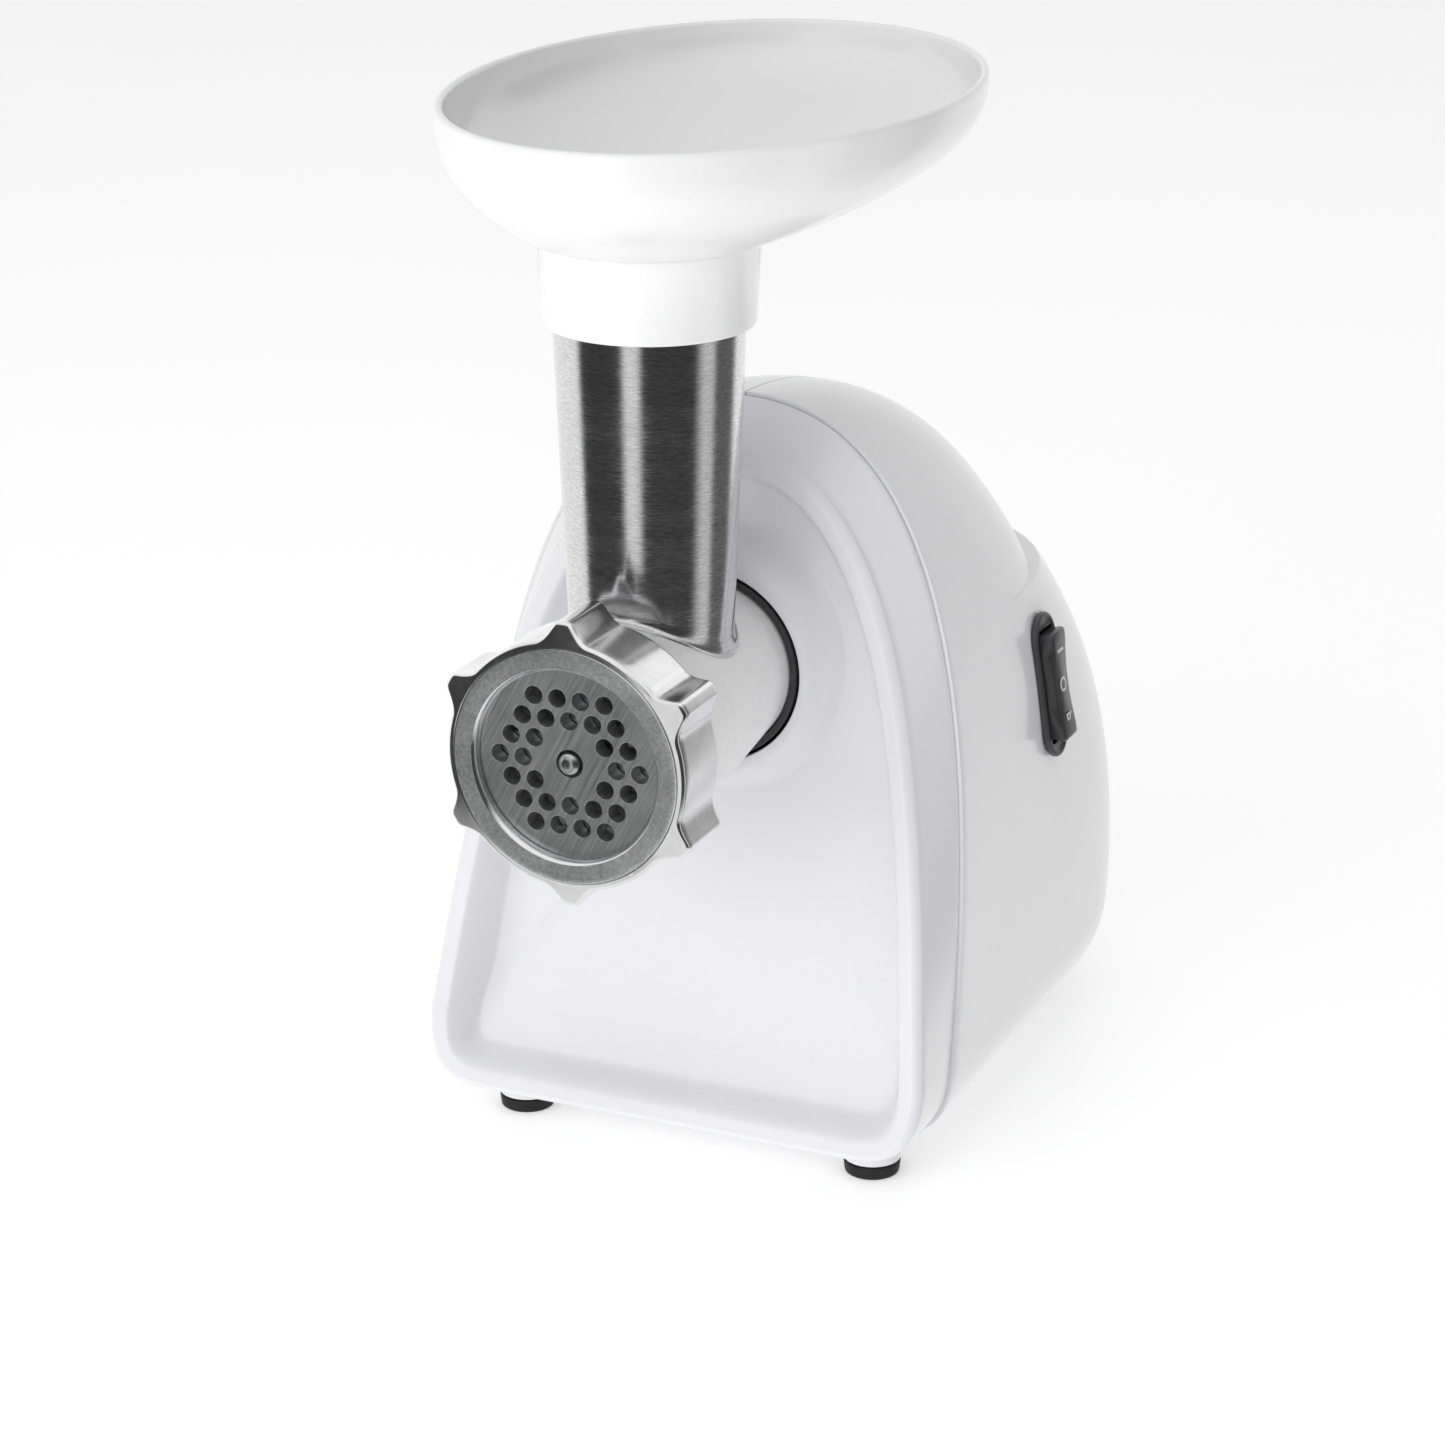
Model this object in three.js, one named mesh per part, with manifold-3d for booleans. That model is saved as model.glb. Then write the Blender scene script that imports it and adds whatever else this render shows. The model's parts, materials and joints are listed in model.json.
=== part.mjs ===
// Electric meat grinder, in millimetres, +Z up, standing on its four feet.
// X is the width, -Y the front where the meat comes out, +Y the back of the motor housing.
// Inside this file y = 0 is the front face of the cutting plate; the group at the end moves
// the whole object so that its origin is at the bottom centre of its bounding box.
import * as THREE from 'three';
import { mergeVertices } from 'three/addons/utils/BufferGeometryUtils.js';
import Module from 'manifold-3d';

const wasm = await Module();
wasm.setup();

// ---------------------------------------------------------------- driving dimensions
const GAP = 0.3; // clearance between pieces that touch
const WALL = 2.5; // moulded wall of the housing

const AXIS_Z = 128; // height of the barrel and feed screw axis
const FEED_Y = 46.1; // feed tube axis, behind the cutting plate's face
const BACK_Y = 239; // rearmost point, the cord grommet's flange
const FRONT_Y = -3; // frontmost point, the ring nut's face

// housing: side view planes that lean back as they rise
const RIM_Y = 57; // front rim of the cover, at RIM_Z
const RIM_Z = 25;
const RIM_LEAN = 0.195;
const SEAM_Y = 77; // seam between the cover and the rear shells, at SEAM_Z
const SEAM_Z = 12;
const SEAM_LEAN = 0.1405;
const SEAM_FLOOR = 9;
const SEAM_TOP = 193.5;
const RIM_FLOOR = 7.5;
const RIM_TOP = 184;
const PANEL_Y = 73.3; // recessed front panel, at PANEL_Z
const PANEL_Z = 56;
const PANEL_LEAN = 0.165;
const SCOOP_Y = 59.5; // the panel's foot sweeps forward to the rim
const SCOOP_Z = 15;
const SCOOP_SLOPE = 0.47;
const SCOOP_BLEND = 3;
const BOSS_Y = 78; // flat face round the barrel opening
const BOSS_R = 27;
const BOSS_FILLET = 9;
const SOCKET_HOLE_R = 25.5;
const SHELF_Z = 134; // finger shelf across the back
const SHELL_LEVELS = 15;
const SIDE_STEPS = 2;
const CORNER_STEPS = 7;
const SIDE_TAPER = 0.03;

// cutting set
const PLATE_R = 27;
const PLATE_THICK = 5;
const HOLE_PITCH = 6.15;
const HOLE_R = 2.3;
const CENTRE_HOLE_R = 3.5;
const STUD_R = 2.75;
const BORE_R = 20;
const FLIGHT_R = 19.2;
const CORE_R = 8;
const FLIGHT_PITCH = 25;
const FLIGHT_START = 12.8;
const FLIGHT_END = 74;
const SQUARE = 3.6; // half the width of the square that drives the knife
const KEY_Y = 3;
const KEY_R = 1.3;

// ring nut
const NUT_FACE_R = 29.5; // flat front face; beyond it the front slopes back to the edge
const NUT_R = 31.3;
const NUT_TIP_R = 35.8;
const NUT_MOUTH_R = 23.7;
const NUT_BORE_R = 30.1;
const NUT_EDGE_Y = -1.2;
const NUT_BACK_Y = 17;
const NUT_LOBES = 6;
const NUT_PHASE = 31; // degrees from +X to the first lobe

// grinding head
const THREAD_R = 29.8;
const COUNTERBORE_R = 27.3;
const COUNTERBORE_END = 11;
const TUBE_TOP_Z = 243;
const TUBE_TOP_R = 23.9;
const TUBE_FOOT_R = 19.5;
const TUBE_WALL = 2.2;
const SPIGOT_R = 20.6;
const LUG_R = 22.6;
const LUG_COUNT = 3;
const UNLOCK_TURN = THREE.MathUtils.degToRad(40);
const LUG_Y = [87.8, 91.6];
const LUG_HALF_ANGLE = 0.26;
const LUG_PLAY = 0.06;
const SPIGOT_STEP_Y = 81.6;
const SPIGOT_END_Y = 94;
const BARREL_REAR_R = 22.6;
const REAR_WALL_Y = 77;
const BUSH_R = 10.5;
const BUSH_BORE_R = 7.6;
const BUSH_END_Y = 86;

// locking socket behind the front cover
const SOCKET_LIP_R = 24.7;
const SOCKET_BORE_R = 23;
const SOCKET_LEDGE_R = 20.9;
const SOCKET_Y = 78.2;
const SOCKET_BACK_Y = 98;
const SOCKET_FLANGE_Y = 94.8;
const SOCKET_FLANGE_R = 33;
const LEDGE_Y = [82.4, 87.4];

// food tray
const COLLAR_FLOOR_Z = 225.2;
const COLLAR_FLOOR_R = 25.8;
const COLLAR_TOP_Z = 245.8;
const COLLAR_TOP_R = 26.8;
const BOWL_FOOT_R = 28.5;
const RIM_HALF_WIDTH = 62.2;
const RIM_HALF_LENGTH = 87.8;
const RIM_CENTRE_Y = 85.3;
const TRAY_RIM_Z = 275.6;
const TRAY_WALL = 2.2;
const THROAT_R = 20.2;
const BOWL_FULLNESS = 2.75;
const TRAY_SIDES = 30;

// gear train and motor
const MOTOR_Z = 66;
const OUTPUT_TEETH = 48;
const PINION_TEETH = 9;
const OUTPUT_MODULE = 1.35;
const FIRST_MODULE = 0.92;
const OUTPUT_CENTRES = (OUTPUT_MODULE * (OUTPUT_TEETH + PINION_TEETH)) / 2;
const FIRST_CENTRES = (FIRST_MODULE * (OUTPUT_TEETH + PINION_TEETH)) / 2;
const OUTPUT_GEAR_Y = [104, 113];
const FIRST_GEAR_Y = [117, 123];
const SHAFT_R = 6;
const IDLER_PIN_R = 2.2;
const BEARING_R = 10.4;
const AXLE_DROP = AXIS_Z - MOTOR_Z;
const IDLER_DROP = (OUTPUT_CENTRES ** 2 - FIRST_CENTRES ** 2 + AXLE_DROP ** 2) / (2 * AXLE_DROP);
const IDLER_X = -Math.sqrt(OUTPUT_CENTRES ** 2 - IDLER_DROP ** 2);
const IDLER_Z = AXIS_Z - IDLER_DROP;
const CASE_FRONT_Y = 98.4;
const CASE_PLATE = 3;
const CASE_WALL = 2;
const CASE_EAR_R = 5;
const CASE_BACK_Y = 128;
const CASE_SCREWS = [[-37, 14], [37, 14], [-33, -70], [33, -70]]; // from the barrel axis
const STATOR_Y = [142, 174];
const ARMATURE_R = 16.6;
const ROTOR_SHAFT_R = 2.2;
const COMMUTATOR_Y = [184, 194];
const COIL_SIDE = [19.6, 23.4];
const COIL_Z = [4, 18.4];
const FAN_Y = [130.6, 134.8];
const BRACKET_BORE_R = 7.3;

// feet, switch and grommet
const FOOT_X = 49.5;
const FRONT_FOOT_Y = 71.5;
const REAR_FOOT_X = 38;
const REAR_FOOT_Y = 198;
const PAD_R = 7;
const PAD_HEIGHT = 3.4;
const FOOT_BOSS_R = 7.5;
const BASE_Z = 6.2;
const BASE_TOP = 8.7;
const SWITCH_X = 63.1;
const SWITCH_Y = 156;
const SWITCH_Z = 107;
const SWITCH_LEAN = THREE.MathUtils.degToRad(-9);
const GROMMET_Z = 28;
const GROMMET_NECK_R = 6.1;
const SWITCH_HALF_WIDTH = 7.4;
const SWITCH_HALF_HEIGHT = 19.8;
const ROCKER_HALF_WIDTH = 4.6;
const ROCKER_REACH = 6;
const BASE_SCREWS = [[-46, 96], [46, 96], [-44, 176], [44, 176]];
const SCREW_R = 1.6;
const SCREW_HEAD_R = 3.2;
const SCREW_HEAD = 1.6;

// ---------------------------------------------------------------- finishes
const finish = (color, roughness, metalness) =>
  new THREE.MeshStandardMaterial({ color, roughness, metalness });
const whitePlastic = finish(0xf0f0f2, 0.18, 0);
const blackPlastic = finish(0x1b1b1d, 0.5, 0);
const blackRubber = finish(0x101010, 0.8, 0);
const castAluminium = finish(0xc9cbcd, 0.35, 1);
const brushedSteel = finish(0xa9abad, 0.3, 1);
const zincSteel = finish(0xb8bbbe, 0.35, 1);
const copperWire = finish(0xb8703a, 0.4, 1);
const laminatedSteel = finish(0x6d6f72, 0.5, 1);
const gearNylon = finish(0xe4ddc8, 0.5, 0);
const carbon = finish(0x2a2a2c, 0.7, 0);

// ---------------------------------------------------------------- solids
const { lerp, smoothstep, mapLinear, clamp } = THREE.MathUtils;
const v2 = (x, y) => new THREE.Vector2(x, y);

// Closed triangles as a solid with its faces pointing out.
function solidFrom(positions, triangles) {
  const at = (i) => new THREE.Vector3().fromArray(positions, i * 3);
  let volume = 0;
  for (let k = 0; k < triangles.length; k += 3) {
    const [a, b, c] = [at(triangles[k]), at(triangles[k + 1]), at(triangles[k + 2])];
    volume += a.dot(b.cross(c));
  }
  const triVerts = Uint32Array.from(volume < 0 ? [...triangles].reverse() : triangles);
  const vertProperties = Float32Array.from(positions);
  return new wasm.Manifold(new wasm.Mesh({ numProp: 3, vertProperties, triVerts }));
}

function solid(geometry) {
  const bare = geometry.clone();
  bare.deleteAttribute('normal');
  bare.deleteAttribute('uv');
  const merged = mergeVertices(bare, 1e-4);
  const index = merged.index.array;
  const kept = [];
  for (let k = 0; k < index.length; k += 3) {
    const [a, b, c] = [index[k], index[k + 1], index[k + 2]];
    if (a !== b && b !== c && c !== a) kept.push(a, b, c);
  }
  return solidFrom(Array.from(merged.attributes.position.array), kept);
}

const moved = (body, x, y, z) => body.translate([x, y, z]);
const turnedAboutY = (body, angle) => body.rotate([0, THREE.MathUtils.radToDeg(angle), 0]);
const join = (...bodies) => bodies.reduce((all, body) => all.add(body));
const cut = (body, ...tools) => tools.reduce((left, tool) => left.subtract(tool), body);

// A body turned about a line along Y; the profile is a list of [radius, y].
function turned(profile, sides = 24) {
  return solid(new THREE.LatheGeometry(profile.map(([r, y]) => v2(r, y)), sides));
}

// The same about a line along Z, with the profile as [radius, z].
function turnedUpright(profile, sides = 24) {
  const geometry = new THREE.LatheGeometry(profile.map(([r, z]) => v2(r, z)), sides);
  geometry.rotateX(Math.PI / 2);
  return solid(geometry);
}

const rod = (radius, y0, y1, sides = 16) => turned([[0, y0], [radius, y0], [radius, y1], [0, y1]], sides);
const rodAt = (radius, x, z, y0, y1, sides = 8) => moved(rod(radius, y0, y1, sides), x, 0, z);
const ring = (inner, outer, y0, y1, sides = 24) =>
  turned([[inner, y0], [outer, y0], [outer, y1], [inner, y1], [inner, y0]], sides);
const post = (radius, z0, z1, sides = 16) =>
  turnedUpright([[0, z0], [radius, z0], [radius, z1], [0, z1]], sides);

function block(x0, x1, y0, y1, z0, z1) {
  const geometry = new THREE.BoxGeometry(x1 - x0, y1 - y0, z1 - z0);
  geometry.translate((x0 + x1) / 2, (y0 + y1) / 2, (z0 + z1) / 2);
  return solid(geometry);
}

// A flat shape in X and Z, given thickness along Y.
function slabY(shape, y0, y1, curveSegments = 8) {
  const geometry = new THREE.ExtrudeGeometry(shape, { depth: y1 - y0, bevelEnabled: false, curveSegments });
  geometry.rotateX(Math.PI / 2);
  geometry.translate(0, y1, 0);
  return solid(geometry);
}

// A flat shape in X and Y, given thickness along Z.
function slabZ(shape, z0, z1, curveSegments = 8) {
  const geometry = new THREE.ExtrudeGeometry(shape, { depth: z1 - z0, bevelEnabled: false, curveSegments });
  geometry.translate(0, 0, z0);
  return solid(geometry);
}

// Rings of equal length joined into one closed skin; the last ring joins the first
// when wrap is set, and otherwise both ends are capped with a fan.
function skin(rings, wrap) {
  const count = rings[0].length;
  const positions = rings.flat(2);
  const triangles = [];
  const last = wrap ? rings.length : rings.length - 1;
  for (let i = 0; i < last; i += 1) {
    for (let j = 0; j < count; j += 1) {
      const a = i * count + j;
      const b = i * count + ((j + 1) % count);
      const c = ((i + 1) % rings.length) * count + j;
      const d = ((i + 1) % rings.length) * count + ((j + 1) % count);
      triangles.push(a, b, d, a, d, c);
    }
  }
  if (!wrap) {
    for (const [start, flip] of [[0, true], [(rings.length - 1) * count, false]]) {
      for (let j = 1; j < count - 1; j += 1) {
        const fan = [start, start + j, start + j + 1];
        triangles.push(...(flip ? fan.reverse() : fan));
      }
    }
  }
  return solidFrom(positions, triangles);
}

// ---------------------------------------------------------------- housing outlines
// Half of the arch-shaped front outline, bottom centre to top centre, as points (x, z).
function halfArch(arch, flatSteps, cornerSteps, sideSteps) {
  const { floor, flat, corner, wide, wideZ, waist, crown, top } = arch;
  const curves = [
    [new THREE.LineCurve(v2(0, floor), v2(flat, floor)), flatSteps],
    [new THREE.CubicBezierCurve(v2(flat, floor), v2(corner, floor), v2(wide, floor + 6), v2(wide, wideZ)),
      cornerSteps],
    [new THREE.CubicBezierCurve(v2(wide, wideZ), v2(...waist), v2(crown, top), v2(0, top)),
      sideSteps],
  ];
  return curves.flatMap(([curve, steps], i) => curve.getPoints(steps).slice(i ? 1 : 0));
}

const seamArch = {
  floor: SEAM_FLOOR, flat: 52, corner: 63, wide: 68.4, wideZ: 28, waist: [69.5, 108], crown: 60,
  top: SEAM_TOP,
};
const rimArch = {
  floor: RIM_FLOOR, flat: 54, corner: 67, wide: 71.6, wideZ: 26, waist: [62.5, 95], crown: 55,
  top: RIM_TOP,
};
const seamOutline = halfArch(seamArch, 1, 30, 60);
const rimOutline = halfArch(rimArch, 1, 30, 60);

// An outline moved inwards by a distance.
function inset(outline, distance) {
  return outline.map((point, i) => {
    const before = outline[Math.max(i - 1, 0)];
    const after = outline[Math.min(i + 1, outline.length - 1)];
    const along = v2(after.x - before.x, after.y - before.y).normalize();
    if (i === 0 || i === outline.length - 1) along.set(Math.sign(along.x), 0);
    return v2(point.x - along.y * distance, point.y + along.x * distance);
  });
}

// Where a ray from the barrel axis meets an outline; turn 0 points down and pi points up.
function reach(outline, turn) {
  const bearing = (point) => Math.atan2(point.x, AXIS_Z - point.y);
  for (let i = 1; i < outline.length; i += 1) {
    const [from, to] = [bearing(outline[i - 1]), bearing(outline[i])];
    if (turn <= to + 1e-9 && to > from) {
      const share = clamp((turn - from) / (to - from), 0, 1);
      return outline[i - 1].clone().lerp(outline[i], share);
    }
  }
  return outline[outline.length - 1].clone();
}

// The half-width of an outline at a height.
function widthAt(outline, z) {
  for (let i = outline.length - 1; i > 0; i -= 1) {
    const [low, high] = [outline[i - 1], outline[i]];
    if (z >= low.y && z <= high.y && high.y > low.y) {
      return lerp(low.x, high.x, (z - low.y) / (high.y - low.y));
    }
  }
  return z <= outline[1].y ? outline[1].x : 0;
}

const rimY = (z) => RIM_Y + RIM_LEAN * (z - RIM_Z);
const seamY = (z) => SEAM_Y + SEAM_LEAN * (z - SEAM_Z);

// The recessed front panel: a leaning plane that meets the scoop in a soft fold,
// and rises to the flat boss round the barrel.
function panelY(x, z) {
  const wall = PANEL_Y + PANEL_LEAN * (z - PANEL_Z);
  const scoop = SCOOP_Y + SCOOP_SLOPE * (z - SCOOP_Z);
  const sheet = (wall + scoop - Math.hypot(wall - scoop, SCOOP_BLEND)) / 2;
  const fromBoss = (Math.hypot(x, z - AXIS_Z) - BOSS_R) / BOSS_FILLET;
  return lerp(BOSS_Y, sheet, smoothstep(fromBoss, 0, 1));
}

// ---------------------------------------------------------------- front cover
function frontCover() {
  const turns = halfArch(rimArch, 2, 5, 10).map((point) => Math.atan2(point.x, AXIS_Z - point.y));
  const loop = (half) => [...half, ...half.slice(1, -1).reverse().map(([x, y, z]) => [-x, y, z])];
  const outlineRing = (outline, depth) => loop(turns.map((turn) => {
    const point = reach(outline, turn);
    return [point.x, depth(point.x, point.y), point.y];
  }));
  const circleRing = (radius, depth) => loop(turns.map((turn) => {
    const [x, z] = [radius * Math.sin(turn), AXIS_Z - radius * Math.cos(turn)];
    return [x, depth(x, z), z];
  }));
  const between = (outline, radius, share, depth) => loop(turns.map((turn) => {
    const far = reach(outline, turn);
    const near = v2(radius * Math.sin(turn), AXIS_Z - radius * Math.cos(turn));
    const point = far.lerp(near, share);
    return [point.x, depth(point.x, point.y), point.y];
  }));
  const panelBack = (x, z) => panelY(x, z) + WALL;
  const panelEdge = inset(rimOutline, 10.5);
  const panelBackEdge = inset(rimOutline, 11.5);
  const rings = [
    outlineRing(seamOutline, (x, z) => seamY(z) - GAP / 2),
    outlineRing(rimOutline, (x, z) => rimY(z) + 4),
    outlineRing(inset(rimOutline, 1), (x, z) => rimY(z) + 1.2),
    outlineRing(inset(rimOutline, 3.2), (x, z) => rimY(z)),
    outlineRing(inset(rimOutline, 5.6), (x, z) => rimY(z) + 0.7),
    outlineRing(inset(rimOutline, 8.2), (x, z) => panelY(x, z) - 1.8),
    outlineRing(panelEdge, panelY),
    between(panelEdge, BOSS_R + BOSS_FILLET, 0.25, panelY),
    between(panelEdge, BOSS_R + BOSS_FILLET, 0.5, panelY),
    circleRing(BOSS_R + BOSS_FILLET, panelY),
    circleRing(BOSS_R + BOSS_FILLET * 0.4, panelY),
    circleRing(SOCKET_HOLE_R, () => BOSS_Y),
    circleRing(SOCKET_HOLE_R, () => BOSS_Y + WALL),
    circleRing(BOSS_R + BOSS_FILLET, panelBack),
    outlineRing(panelBackEdge, panelBack),
    outlineRing(inset(rimOutline, 7.2), (x, z) => panelY(x, z) + WALL),
    outlineRing(inset(rimOutline, 4.6), (x, z) => rimY(z) + 3.4),
    outlineRing(inset(rimOutline, WALL), (x, z) => rimY(z) + 4.6),
    outlineRing(inset(seamOutline, WALL), (x, z) => seamY(z) - GAP / 2),
  ];
  const bosses = [-1, 1].map((side) =>
    moved(post(FOOT_BOSS_R, PAD_HEIGHT + GAP, SEAM_FLOOR - GAP), side * FOOT_X, FRONT_FOOT_Y, 0));
  return join(skin(rings, true), ...bosses);
}

// ---------------------------------------------------------------- rear shells
// Side view of the back: the lower bulge up to the finger shelf, then the slope to the ridge.
const lowerBack = new THREE.CurvePath();
lowerBack.add(new THREE.CubicBezierCurve(
  v2(214, SEAM_FLOOR), v2(229, SEAM_FLOOR), v2(235, 18), v2(236, 42)));
lowerBack.add(new THREE.CubicBezierCurve(v2(236, 42), v2(237, 78), v2(229, 112), v2(213, SHELF_Z)));
const upperBack = new THREE.CubicBezierCurve(
  v2(203, SHELF_Z), v2(194, 170), v2(160, 190), v2(102.5, SEAM_TOP));
const lowerOutline = lowerBack.getPoints(30);
const upperOutline = upperBack.getPoints(60);

function shellRow(z, offset) {
  const side = offset ? inset(seamOutline, offset) : seamOutline;
  const high = z > SHELF_Z - offset;
  const back = inset(high ? upperOutline : lowerOutline, offset);
  const half = Math.max(widthAt(side, z) - GAP / 2, 0);
  const front = seamY(z) + GAP / 2;
  const rear = Math.max(widthAt(back, z), front);
  const height = (z - SEAM_FLOOR) / (SEAM_TOP - SEAM_FLOOR);
  const straight = lerp(front, rear, 0.62 * (1 - height ** 3));
  const power = lerp(3.5, 2.05, smoothstep(height, 0.15, 0.85));
  const row = [];
  const place = (x, y) => {
    const taper = 1 - SIDE_TAPER * ((y - front) / Math.max(rear - front, 1));
    row.push([x * taper + GAP / 2, y, z]);
  };
  for (let j = 0; j < SIDE_STEPS; j += 1) {
    place(half, lerp(front, straight, j / SIDE_STEPS));
  }
  for (let j = 0; j <= CORNER_STEPS; j += 1) {
    const angle = (j / CORNER_STEPS) * (Math.PI / 2);
    const across = j === CORNER_STEPS ? 0 : Math.cos(angle) ** (2 / power);
    place(half * across, straight + (rear - straight) * Math.sin(angle) ** (2 / power));
  }
  return row;
}

function rightShellSkin() {
  const heights = Array.from({ length: SHELL_LEVELS }, (_, k) =>
    (1 - Math.cos((Math.PI * k) / SHELL_LEVELS)) / 2);
  const level = (share) => SEAM_FLOOR + share * (SEAM_TOP - SEAM_FLOOR);
  const outerZ = heights.map(level).filter((z) => Math.abs(z - SHELF_Z) > 5);
  outerZ.push(SHELF_Z - 0.8, SHELF_Z + 0.8);
  outerZ.sort((a, b) => a - b);
  const squeeze = (z) => mapLinear(z, SEAM_FLOOR, SEAM_TOP, SEAM_FLOOR + WALL, SEAM_TOP - WALL);
  const outer = outerZ.map((z) => shellRow(z, 0));
  const inner = outerZ.map((z) => shellRow(squeeze(z), WALL));
  const columns = outer[0].length;
  const rows = outer.length;
  const positions = [...outer, ...inner].flat(2);
  const apex = positions.length / 3;
  for (const z of [SEAM_TOP, SEAM_TOP - WALL]) positions.push(GAP / 2, seamY(SEAM_TOP) + GAP / 2, z);
  const at = (side, i, j) => (i === rows ? apex + side : (side * rows + i) * columns + j);
  const triangles = [];
  const quad = (a, b, c, d) => {
    if (a !== b && b !== c && a !== c) triangles.push(a, b, c);
    if (a !== c && c !== d && a !== d) triangles.push(a, c, d);
  };
  for (let i = 0; i < rows; i += 1) {
    for (let j = 0; j < columns - 1; j += 1) {
      quad(at(0, i, j), at(0, i, j + 1), at(0, i + 1, j + 1), at(0, i + 1, j));
      quad(at(1, i, j), at(1, i + 1, j), at(1, i + 1, j + 1), at(1, i, j + 1));
    }
    quad(at(0, i, 0), at(0, i + 1, 0), at(1, i + 1, 0), at(1, i, 0));
    const end = columns - 1;
    quad(at(0, i, end), at(1, i, end), at(1, i + 1, end), at(0, i + 1, end));
  }
  for (let j = 0; j < columns - 1; j += 1) {
    quad(at(0, 0, j), at(1, 0, j), at(1, 0, j + 1), at(0, 0, j + 1));
  }
  return solidFrom(positions, triangles);
}

const inSwitchFrame = (body) => moved(turnedAboutY(body, SWITCH_LEAN), SWITCH_X, SWITCH_Y, SWITCH_Z);

// A flat-sided oval standing in the switch's own frame, where +X points out of the housing.
function switchOval(halfWidth, halfHeight, x0, x1) {
  const shape = new THREE.Shape();
  const straight = halfHeight - halfWidth;
  shape.absarc(0, straight, halfWidth, 0, Math.PI, false);
  shape.absarc(0, -straight, halfWidth, Math.PI, Math.PI * 2, false);
  const options = { depth: x1 - x0, bevelEnabled: false, curveSegments: 6 };
  const geometry = new THREE.ExtrudeGeometry(shape, options);
  geometry.rotateY(Math.PI / 2);
  geometry.rotateX(Math.PI / 2);
  geometry.translate(x0, 0, 0);
  return solid(geometry);
}

function rearShells() {
  const right = rightShellSkin();
  const hole = moved(rod(GROMMET_NECK_R + GAP, 215, BACK_Y, 16), 0, 0, GROMMET_Z);
  const window = inSwitchFrame(switchOval(SWITCH_HALF_WIDTH - 1, SWITCH_HALF_HEIGHT - 1, -12, 12));
  return { right: cut(right, hole, window), left: cut(right.mirror([1, 0, 0]), hole) };
}

// ---------------------------------------------------------------- base and feet
function roundedRect(halfWidth, y0, y1, frontCorner, rearCorner) {
  const shape = new THREE.Shape();
  shape.moveTo(-halfWidth + frontCorner, y0);
  shape.lineTo(halfWidth - frontCorner, y0);
  shape.absarc(halfWidth - frontCorner, y0 + frontCorner, frontCorner, -Math.PI / 2, 0, false);
  shape.absarc(halfWidth - rearCorner, y1 - rearCorner, rearCorner, 0, Math.PI / 2, false);
  shape.absarc(-halfWidth + rearCorner, y1 - rearCorner, rearCorner, Math.PI / 2, Math.PI, false);
  shape.absarc(-halfWidth + frontCorner, y0 + frontCorner, frontCorner, Math.PI, Math.PI * 1.5, false);
  return shape;
}

function basePlate() {
  const outline = roundedRect(58, SEAM_Y + 3, 220, 4, 40);
  const slots = [-17, 17].flatMap((x) => Array.from({ length: 5 }, (_, row) =>
    block(x - 11, x + 11, 122.4 + row * 10, 125.6 + row * 10, BASE_Z - 1, BASE_TOP + 1)));
  const plate = slabZ(outline, BASE_Z, BASE_TOP, 5);
  const bosses = [-1, 1].map((side) =>
    moved(post(FOOT_BOSS_R, PAD_HEIGHT + GAP, BASE_Z + 1), side * REAR_FOOT_X, REAR_FOOT_Y, 0));
  const screwHoles = BASE_SCREWS.map(([x, y]) =>
    moved(post(SCREW_R + GAP, BASE_Z - 1, BASE_TOP + 1, 8), x, y, 0));
  return cut(join(plate, ...bosses), ...screwHoles, ...slots);
}

const footPad = (x, y) => moved(
  turnedUpright([[0, 0], [PAD_R - 0.5, 0], [PAD_R, PAD_HEIGHT], [0, PAD_HEIGHT]], 16), x, y, 0);

// A pan-head screw standing along +Z with its head at the bottom.
function uprightScrew(x, y, headZ, length) {
  const profile = [[0, headZ], [SCREW_HEAD_R, headZ], [SCREW_HEAD_R, headZ + SCREW_HEAD],
    [SCREW_R, headZ + SCREW_HEAD], [SCREW_R, headZ + length], [0, headZ + length]];
  return moved(turnedUpright(profile, 7), x, y, 0);
}

// A screw along +Y, its head at headY facing -Y, with the shank behind it.
function screwY(x, z, headY, length) {
  const profile = [[0, headY], [SCREW_HEAD_R, headY], [SCREW_HEAD_R, headY + SCREW_HEAD],
    [SCREW_R, headY + SCREW_HEAD], [SCREW_R, headY + length], [0, headY + length]];
  return moved(turned(profile, 7), x, 0, z);
}

// ---------------------------------------------------------------- locking socket

// A wedge of a ring about the barrel axis, from radius r0 to r1, centred on an angle.
function wedge(angle, halfAngle, r0, r1, y0, y1) {
  const shape = new THREE.Shape();
  shape.absarc(0, 0, r1, angle - halfAngle, angle + halfAngle, false);
  shape.absarc(0, 0, r0, angle + halfAngle, angle - halfAngle, true);
  return slabY(shape, y0, y1, 4);
}

const lugAngle = (i) => Math.PI / 2 + (i * Math.PI * 2) / LUG_COUNT;

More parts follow.
